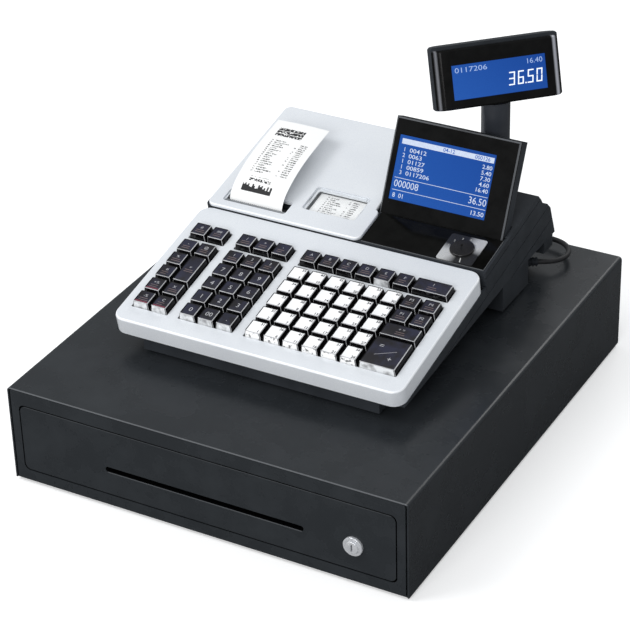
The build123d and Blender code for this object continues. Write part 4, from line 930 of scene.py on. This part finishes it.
def key_cap(x, s, width, depth):
    """A tapered clear cap with a rounded rim round a sunk label, on its stem."""
    low = (x - width / 2, s - depth / 2, KEY_LOW)
    high = (x + width / 2, s + depth / 2, KEY_HIGH)
    cap = box_piece("cap", low, high)
    with editing(cap):
        choose(cap, "faces", lambda f: f.normal.z > 0.9)
        shrink = ((width - 2 * KEY_SLANT) / width, (depth - 2 * KEY_SLANT_DEPTH) / depth, 1)
        bpy.ops.transform.resize(value=shrink, center_override=(x, s, KEY_HIGH))
        bpy.ops.transform.translate(value=(0, KEY_LEAN, 0))
        choose(cap, "edges", lambda e: abs(along(e).z) > 0.9)
        bpy.ops.mesh.bevel(offset=KEY_CORNER, segments=3, affect="EDGES")
        choose(cap, "edges", lambda e: middle(e).z > KEY_HIGH - 0.01)
        bpy.ops.mesh.bevel(offset=KEY_EDGE, segments=2, affect="EDGES")
        choose(cap, "faces", lambda f: f.normal.z > 0.99)
        bpy.ops.mesh.inset(thickness=KEY_RIM)
        bpy.ops.transform.translate(value=(0, 0, -LABEL_SINK))
        choose(cap, "faces", lambda f: f.normal.z < -0.9)
        bpy.ops.mesh.inset(thickness=STEM_INSET)
        bpy.ops.mesh.extrude_region_move(TRANSFORM_OT_translate={"value": (0, 0, STEM_LOW - KEY_LOW)})
    return cap


def coat_cap(cap, cell, label, pale_front):
    """A cap's label is coloured, and a highlight is painted along its front and right edges and front
    corners.
    """
    x, s, width, depth = cell
    front = s - depth / 2 + KEY_SLANT_DEPTH + KEY_LEAN + LIT_RIM
    right = x + width / 2 - KEY_SLANT - LIT_RIM
    for coat in (coats["dark_side"], coats["cap_highlight"], label, coats["dark_front"], pale_front):
        cap.data.materials.append(coat.material)
    rim = KEY_HIGH - KEY_RIM
    coat_faces(cap, EDGE, lambda f: f.center.z > rim and (f.center.y < front or f.center.x > right))
    coat_faces(cap, EDGE, lambda f: abs(f.normal.x) > 0.55 and f.normal.y < -0.55 and f.center.z > KEY_LOW)
    coat_faces(cap, LABEL, lambda f: f.normal.z > 0.99 and f.area > 60)
    coat_faces(cap, FRONT, lambda f: f.normal.y < -0.9 and f.center.z > KEY_LOW and f.area > 20)


def key_bank(name, cells, body, label, pale_front, pale_fronts=()):
    """The keys of one bank: a few in the front row have pale fronts."""
    caps = []
    for index, cell in enumerate(cells):
        cap = key_cap(*cell)
        coat_cap(cap, cell, label, pale_front)
        if index in pale_fronts:
            coat_faces(cap, PALE_FRONT, lambda f: f.material_index == FRONT)
        caps.append(cap)
    bank = smooth(joined(name, caps), 30)
    settle(bank, KEYBOARD)
    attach(bank, body)
    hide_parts(body)
    return bank


def print_marks(name, marks, body, slot, coat, matrix):
    """Joins printed marks into one piece and puts it in its place."""
    piece = joined(name, marks)
    settle(piece, matrix)
    return finish(piece, body, slot, coat)


BANKS = {
    "feed_keys": key_cells(left_x, [top_s]),
    "function_keys": key_cells([left_x[0]], row_s) + key_cells([left_x[1]], [row_s[0], row_s[1], row_s[4]]),
    "tall_key": wide_cell(left_x[1], left_x[1], row_s[2], row_s[3]),
    "operator_keys": key_cells(middle_x, [row_s[4], top_s]),
    "number_keys": key_cells(middle_x, row_s[:4]),
    "menu_keys": key_cells(right_x[:6], [top_s]),
    "wide_menu_key": wide_cell(right_x[6], right_x[7], top_s, top_s),
    "side_keys": key_cells(right_x[6:], row_s[3:]),
    "subtotal_key": wide_cell(right_x[6], right_x[7], row_s[2], row_s[2]),
    "total_key": wide_cell(right_x[6], right_x[7], row_s[0], row_s[1]),
}
PALE_FRONTS = {"function_keys": (0, 5), "number_keys": (0, 1, 2), "menu_keys": (4,), "total_key": (0,)}
NUMBER_FIGURES = ["0", "00", ".", "1", "2", "3", "4", "5", "6", "7", "8", "9"]
FUNCTION_SIGNS = {
    "feed_keys": ["#", "##"],
    "function_keys": ["-%", "+%", "#", "%", "-", "C", "X", "@"],
    "tall_key": ["="],
    "operator_keys": ["1", "2", "3", "/", "+", "-"],
    "menu_keys": ["A", "B", "C", "D", "E", "F"],
    "wide_menu_key": ["?"],
    "side_keys": ["P1", "P2", "P3", "P4"],
    "subtotal_key": ["+ ="],
}


NUMBER_SIZE = 7.2
SIGN_SIZE = 4.6
SIGN_RISE = 2.6              # above the label's middle
LINE_RISES = (-1.4, -3.9)    # two printed lines below it
LINE_HEIGHT = 0.8
LINE_LEFT = -4.2
LINE_RIGHT = 3.4
BAND_REACH = 6.4             # the rose band, to either side of the label's middle
BAND_RISES = (-6.3, -5.0)
TOTAL_SIZE = 8.0
TOTAL_RULE = (-9.5, -8.7, -4.6, 4.4)     # left, right, foot and top, from the label's middle
TOTAL_LEAN = 18
TOTAL_UPPER = (-7.5, 7.5)    # the signs' places, from the label's middle
TOTAL_LOWER = (6.5, -6.5)
ITEM_SIZE = 4.1
ITEM_ASIDE = 4.3             # both numbers, right of the label's middle
ITEM_UPPER = 4.9
ITEM_LOWER = -4.8
ITEM_BOLD = 0.12
ITEM_ROWS = 5
ITEM_COLUMNS = 6


def dark_keys():
    """The dark keys, with plain figures on the number bank and a sign over two lines on the others."""
    for name, cells in BANKS.items():
        key_bank("caps_" + name, cells, name, coats["dark_label"], coats["pale_front"],
                 PALE_FRONTS.get(name, ()))
    marks = [figures("figure", text, x, s + KEY_LEAN, LABEL_Z, NUMBER_SIZE)
             for text, (x, s, _, _) in zip(NUMBER_FIGURES, BANKS["number_keys"])]
    print_marks("number_figures", marks, "number_keys", "dark_key", coats["legend"], KEYBOARD)
    for name, signs in FUNCTION_SIGNS.items():
        upper = []
        lower = []
        for index, (sign, (x, s, _, _)) in enumerate(zip(signs, BANKS[name])):
            upper.append(figures("sign", sign, x, s + SIGN_RISE, LABEL_Z, SIGN_SIZE))
            for rise in LINE_RISES:
                right = x + LINE_RIGHT + rise * (index % 3 - 1) / 2
                lower.append(ink_bar("line", x + LINE_LEFT, right, s + rise, s + rise + LINE_HEIGHT, LABEL_Z))
        print_marks("signs_" + name, upper, name, "dark_key", coats["legend"], KEYBOARD)
        print_marks("lines_" + name, lower, name, "dark_key", coats["warm_legend"], KEYBOARD)


def rose_bands():
    """The lower edge of three labels of the left bank is printed in rose."""
    low, high = BAND_RISES
    bands = []
    for x, s, _, _ in BANKS["function_keys"][:2] + BANKS["function_keys"][5:6]:
        bands.append(ink_bar("band", x - BAND_REACH, x + BAND_REACH, s + low, s + high, LABEL_Z))
    print_marks("rose_bands", bands, "function_keys", "dark_key", coats["rose_ink"], KEYBOARD)


def total_key_legend():
    """A slanting rule with a mark above it and one below."""
    x, s, _, _ = BANKS["total_key"][0]
    left, right, foot, top = TOTAL_RULE
    marks = [ink_bar("rule", x + left, x + right, s + foot, s + top, LABEL_Z, lean=TOTAL_LEAN)]
    for sign, (across, up) in (("=", TOTAL_UPPER), ("+", TOTAL_LOWER)):
        marks.append(figures("sign", sign, x + across, s + up, LABEL_Z, TOTAL_SIZE))
    print_marks("signs_total_key", marks, "total_key", "dark_key", coats["legend"], KEYBOARD)


def white_keys():
    """Thirty white keys, numbered up each column in the two right-hand corners."""
    cells = key_cells(right_x[:ITEM_COLUMNS], row_s)
    key_bank("caps_item_keys", cells, "item_keys", coats["white_cap"], coats["white_front"],
             range(ITEM_COLUMNS))
    marks = []
    for index, (x, s, _, _) in enumerate(cells):
        row, column = divmod(index, ITEM_COLUMNS)
        number = column * ITEM_ROWS + row + 1
        for rise, shown in ((ITEM_UPPER, number + ITEM_ROWS * ITEM_COLUMNS), (ITEM_LOWER, number)):
            marks.append(figures("number", str(shown), x + ITEM_ASIDE, s + rise, LABEL_Z, ITEM_SIZE,
                                 bold=ITEM_BOLD))
    print_marks("item_numbers", marks, "item_keys", "white_key", coats["black_ink"], KEYBOARD)


# ---------------------------------------------------------------- mode switch
SWITCH_FACE = 1.31           # the plate's face above the keyboard's slope
DIAL_RADIUS = 14.4
DIAL_NUMBERS = 6
DIAL_START = 205             # degrees, one step before the first number
DIAL_STEP = 31
DIAL_SIZE = 3.4
DIAL_LINE = (5.2, 6.2, -17.6, -12.0)     # left, right, foot and top, from the switch's middle
DIAL_LEAN = -1.6


def switch_marks():
    """Numbers round the mode switch, and the line that its pointer is read against."""
    x, s = SWITCH
    marks = []
    for number in range(1, DIAL_NUMBERS + 1):
        angle = math.radians(DIAL_START - DIAL_STEP * number)
        across = x + DIAL_RADIUS * math.cos(angle)
        up = s + DIAL_RADIUS * math.sin(angle)
        marks.append(figures("number", str(number), across, up, SWITCH_FACE, DIAL_SIZE))
    left, right, foot, top = DIAL_LINE
    marks.append(ink_bar("line", x + left, x + right, s + foot, s + top, SWITCH_FACE, lean=DIAL_LEAN))
    print_marks("switch_marks", marks, "base", "rail_steel", coats["switch_ink"], KEYBOARD)


# ---------------------------------------------------------------- screens
MARK_LIFT = 0.01             # marks above a screen's face
SCREEN_MARKS = -0.5 + MARK_LIFT
HEADING_BAR = (24, 117.5, 67, 72)        # left, right, foot and top
HEADING_SIZE = 5.2
HEADING_RISE = 69.4
HEADING_XS = (72, 106)
COUNT_X = 28
CODE_X = 33
AMOUNT_X = 117.2
TEXT_SIZE = 5.4
FIRST_ITEM = 62              # the first item's height, and the steps down
ITEM_STEP = 5.4
SCREEN_RIGHT = 118
RULE_LEFT = 23
RULE_RISES = (35.0, 23.5)    # a rule over the sums, and one under them
RULE_HEIGHT = 0.5
SUM_LEFT = 23.5
SUM_RISE = 29.6
SUM_SIZE = 9.2
LAST_LEFT = 24
LAST_RIGHT = 117.5
LAST_RISE = 18.7
LAST_SIZE = 5.8
SCREEN_ITEMS = [("1", "00412", "2.80"), ("2", "0063", "5.40"), ("1", "01127", "7.30"), ("1", "00859", "4.60"),
                ("3", "0117206", "16.40")]


def operator_screen():
    """Rows of plain numbers: a heading bar, five items, a rule, a large row and a last row."""
    z = SCREEN_MARKS
    upper_rule, lower_rule = [ink_bar("rule", RULE_LEFT, SCREEN_RIGHT, rise, rise + RULE_HEIGHT, z)
                              for rise in RULE_RISES]
    bright = [ink_bar("heading", *HEADING_BAR, z)]
    dark = [figures("number", text, x, HEADING_RISE, z + INK, HEADING_SIZE, bold=0.05)
            for text, x in zip(("04-12", "000126"), HEADING_XS)]
    for index, (count, code, amount) in enumerate(SCREEN_ITEMS):
        y = FIRST_ITEM - ITEM_STEP * index
        bright.append(figures("count", count, COUNT_X, y, z, TEXT_SIZE, bold=0.04))
        bright.append(figures("code", code, CODE_X, y, z, TEXT_SIZE, "LEFT", 1.3, bold=0.04))
        bright.append(figures("amount", amount, AMOUNT_X, y, z, TEXT_SIZE, "RIGHT", 1.1, bold=0.04))
    bright.append(upper_rule)
    bright.append(figures("sum", "000008", SUM_LEFT, SUM_RISE, z, SUM_SIZE, "LEFT", 0.92))
    bright.append(figures("sum", "36.50", SCREEN_RIGHT, SUM_RISE, z, SUM_SIZE, "RIGHT", 0.9))
    bright.append(lower_rule)
    bright.append(figures("count", "8  01", LAST_LEFT, LAST_RISE, z, LAST_SIZE, "LEFT", bold=0.05))
    bright.append(figures("change", "13.50", LAST_RIGHT, LAST_RISE, z, LAST_SIZE, "RIGHT", 1.1, bold=0.05))
    print_marks("screen_rows", bright, "display", "screen", coats["screen_marks"], DISPLAY)
    print_marks("heading_numbers", dark, "display", "screen", coats["blue_ink"], DISPLAY)


HEAD_MARKS = 12.95 - 0.5 + MARK_LIFT
SEGMENTS = {"0": "abcdef", "1": "bc", "2": "abged", "3": "abgcd", "4": "fgbc", "5": "afgcd", "6": "afgedc",
            "7": "abc", "8": "abcdefg", "9": "abcdfg"}
SEGMENT_WIDTH = 1.15
SEGMENT_GAP = 0.3            # between two upright segments, at the middle bar
SEGMENT_STOP = 0.4           # from their other ends to the figure's ends
FIGURE_LEAN = 0.1            # share of its height
FIGURE_WIDTH = 5.6
FIGURE_HEIGHT = 12.2
FIGURE_STEP = 8.5
FIGURE_LEFT = 8.0
FIGURE_FOOT = -3.2
POINT_SPACE = 0.8            # for the point, after the second figure
POINT = (23.6, 24.9, FIGURE_FOOT, -2.0)  # left, right, foot and top
SMALL_SIZE = 6.6
SMALL_RISE = 16.5
SMALL_REACH = 42             # the small row's ends, to either side


def segment_figure(digit, x, y, width, height):
    """One seven-segment figure, from its lower left corner."""
    t = SEGMENT_WIDTH
    lean = height * FIGURE_LEAN
    half = height / 2
    above = (y + half + SEGMENT_GAP, y + height - SEGMENT_STOP, lean / 2)
    below = (y + SEGMENT_STOP, y + half - SEGMENT_GAP, lean / 2)
    bars = {
        "a": (x + lean, x + width + lean, y + height - t, y + height, 0),
        "g": (x + lean / 2, x + width + lean / 2, y + half - t / 2, y + half + t / 2, 0),
        "d": (x, x + width, y, y + t, 0),
        "f": (x + lean / 2, x + t + lean / 2, *above),
        "b": (x + width - t + lean / 2, x + width + lean / 2, *above),
        "e": (x, x + t, *below),
        "c": (x + width - t, x + width, *below),
    }
    made = []
    for letter in SEGMENTS[digit]:
        x0, x1, y0, y1, slant = bars[letter]
        made.append(ink_bar("segment", x0, x1, y0, y1, HEAD_MARKS, lean=slant))
    return made


def customer_screen():
    """A row of small numbers over one large amount."""
    z = HEAD_MARKS
    small = [figures("code", "0117206", -SMALL_REACH, SMALL_RISE, z, SMALL_SIZE, "LEFT", 1.35)]
    small.append(figures("amount", "16.40", SMALL_REACH, SMALL_RISE, z, SMALL_SIZE, "RIGHT", 1.1))
    print_marks("head_row", small, "customer_display", "screen", coats["dim_marks"], HEAD)
    large = []
    for index, digit in enumerate("3650"):
        x = FIGURE_LEFT + index * FIGURE_STEP + (POINT_SPACE if index > 1 else 0)
        large += segment_figure(digit, x, FIGURE_FOOT, FIGURE_WIDTH, FIGURE_HEIGHT)
    large.append(ink_bar("point", *POINT, z))
    print_marks("head_amount", large, "customer_display", "screen", coats["head_marks"], HEAD)


# ---------------------------------------------------------------- receipt and journal
RECEIPT_X = -99.25
RECEIPT_LINE = [(183.9, -12.0), (183.9, -1.0), (184.8, 3.8), (189.5, 9.5), (200, 15.5), (223, 20.0),
                (255, 21.0), (291, 19.0)]        # up the slope and above it, from the slot
RECEIPT_THICKNESS = 0.12
STRIP_STEPS = 8
LOOSE_FROM = 0.3             # share of its length from which the strip curls and leans
CURL_RISE = 1.1
CURL_CROWN = 0.3
RECEIPT_LEAN = 3.2
RECEIPT_HEADING = (102, 115)             # stretches of print, up the strip
RECEIPT_SALE = (25, 42)
RECEIPT_ITEMS = (47, 96)
JOURNAL_SIZE = (49, 31)
JOURNAL_PLACE = (-26, 210, -2.2)
JOURNAL_THICKNESS = 0.15
JOURNAL_ITEMS = (1, 29)
NO_PRINT = (200, 201)        # a stretch past the strip's end


def place_key(place):
    """How far up the slope and above it a place lies, whatever its place across."""
    return (round(place.y, 3), round(place.z, 3))


def receipt():
    """The receipt: its side line is drawn as a curve, then carried across the roll's width."""
    curve = bpy.data.curves.new("strip_line", "CURVE")
    curve.dimensions = "3D"
    curve.resolution_u = 12
    spline = curve.splines.new("NURBS")
    spline.points.add(len(RECEIPT_LINE) - 1)
    for point, (s, h) in zip(spline.points, RECEIPT_LINE):
        point.co = (RECEIPT_X - STRIP_WIDTH / 2, s, h, 1)
    spline.order_u = 3
    spline.use_endpoint_u = True
    line = bpy.data.objects.new("receipt_sheet", curve)
    bpy.context.scene.collection.objects.link(line)
    take(line)
    bpy.ops.object.convert(target="MESH")
    sheet = added("receipt_sheet")
    reach = {}
    length = 0.0
    places = [vertex.co.copy() for vertex in sheet.data.vertices]
    for before, here in zip([places[0]] + places, places):
        length += (here - before).length
        reach[place_key(here)] = length
    with editing(sheet):
        choose(sheet, "edges", lambda e: True)
        for _ in range(STRIP_STEPS):
            step = (STRIP_WIDTH / STRIP_STEPS, 0, 0)
            bpy.ops.mesh.extrude_region_move(TRANSFORM_OT_translate={"value": step})
    prints = sheet.data.uv_layers.new(name="print")
    for loop in sheet.data.loops:
        place = sheet.data.vertices[loop.vertex_index].co
        across = (place.x - RECEIPT_X) / STRIP_WIDTH + 0.5
        prints.data[loop.index].uv = (across, reach[place_key(place)] / length)
    if sheet.data.polygons[-1].normal.z < 0:
        with editing(sheet):
            choose(sheet, "faces", lambda f: True)
            bpy.ops.mesh.flip_normals()
    # the far end leans to the left, and keeps a little of the roll's curl across its width
    for vertex in sheet.data.vertices:
        across = (vertex.co.x - RECEIPT_X) / (STRIP_WIDTH / 2)
        far = max(reach[place_key(vertex.co)] / length - LOOSE_FROM, 0)
        vertex.co.z += CURL_RISE * (CURL_CROWN - across * across) * far
        vertex.co.x -= RECEIPT_LEAN * far / (1 - LOOSE_FROM)
    wall = sheet.modifiers.new("wall", "SOLIDIFY")
    wall.thickness = RECEIPT_THICKNESS
    wall.offset = -1
    wall.material_offset = 1
    wall.material_offset_rim = 1
    take(sheet)
    bpy.ops.object.modifier_apply(modifier="wall")
    smooth(sheet, 60)
    settle(sheet, KEYBOARD)
    coat = printed_paper("receipt_print", length, RECEIPT_HEADING, RECEIPT_SALE, RECEIPT_ITEMS)
    finish(sheet, "printer_lid", "paper", coat, coats["paper"])
    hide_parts("receipt_paper")


def journal_strip():
    """The journal's paper, flat under the window of the printer cover."""
    bpy.ops.object.select_all(action="DESELECT")
    bpy.ops.mesh.primitive_grid_add(x_subdivisions=4, y_subdivisions=8, size=1)
    strip = added("journal_strip")
    strip.scale = (*JOURNAL_SIZE, 1)
    strip.location = JOURNAL_PLACE
    settle(strip)
    wall = strip.modifiers.new("wall", "SOLIDIFY")
    wall.thickness = JOURNAL_THICKNESS
    take(strip)
    bpy.ops.object.modifier_apply(modifier="wall")
    settle(strip, KEYBOARD)
    coat = printed_paper("journal_print", JOURNAL_SIZE[1], NO_PRINT, NO_PRINT, JOURNAL_ITEMS)
    finish(strip, "printer_lid", "paper", coat)


# ---------------------------------------------------------------- build
set_camera()
power_cord()
set_studio()
lay_floor()
coat_nodes()
dark_keys()
rose_bands()
total_key_legend()
white_keys()
operator_screen()
customer_screen()
receipt()
journal_strip()
switch_marks()
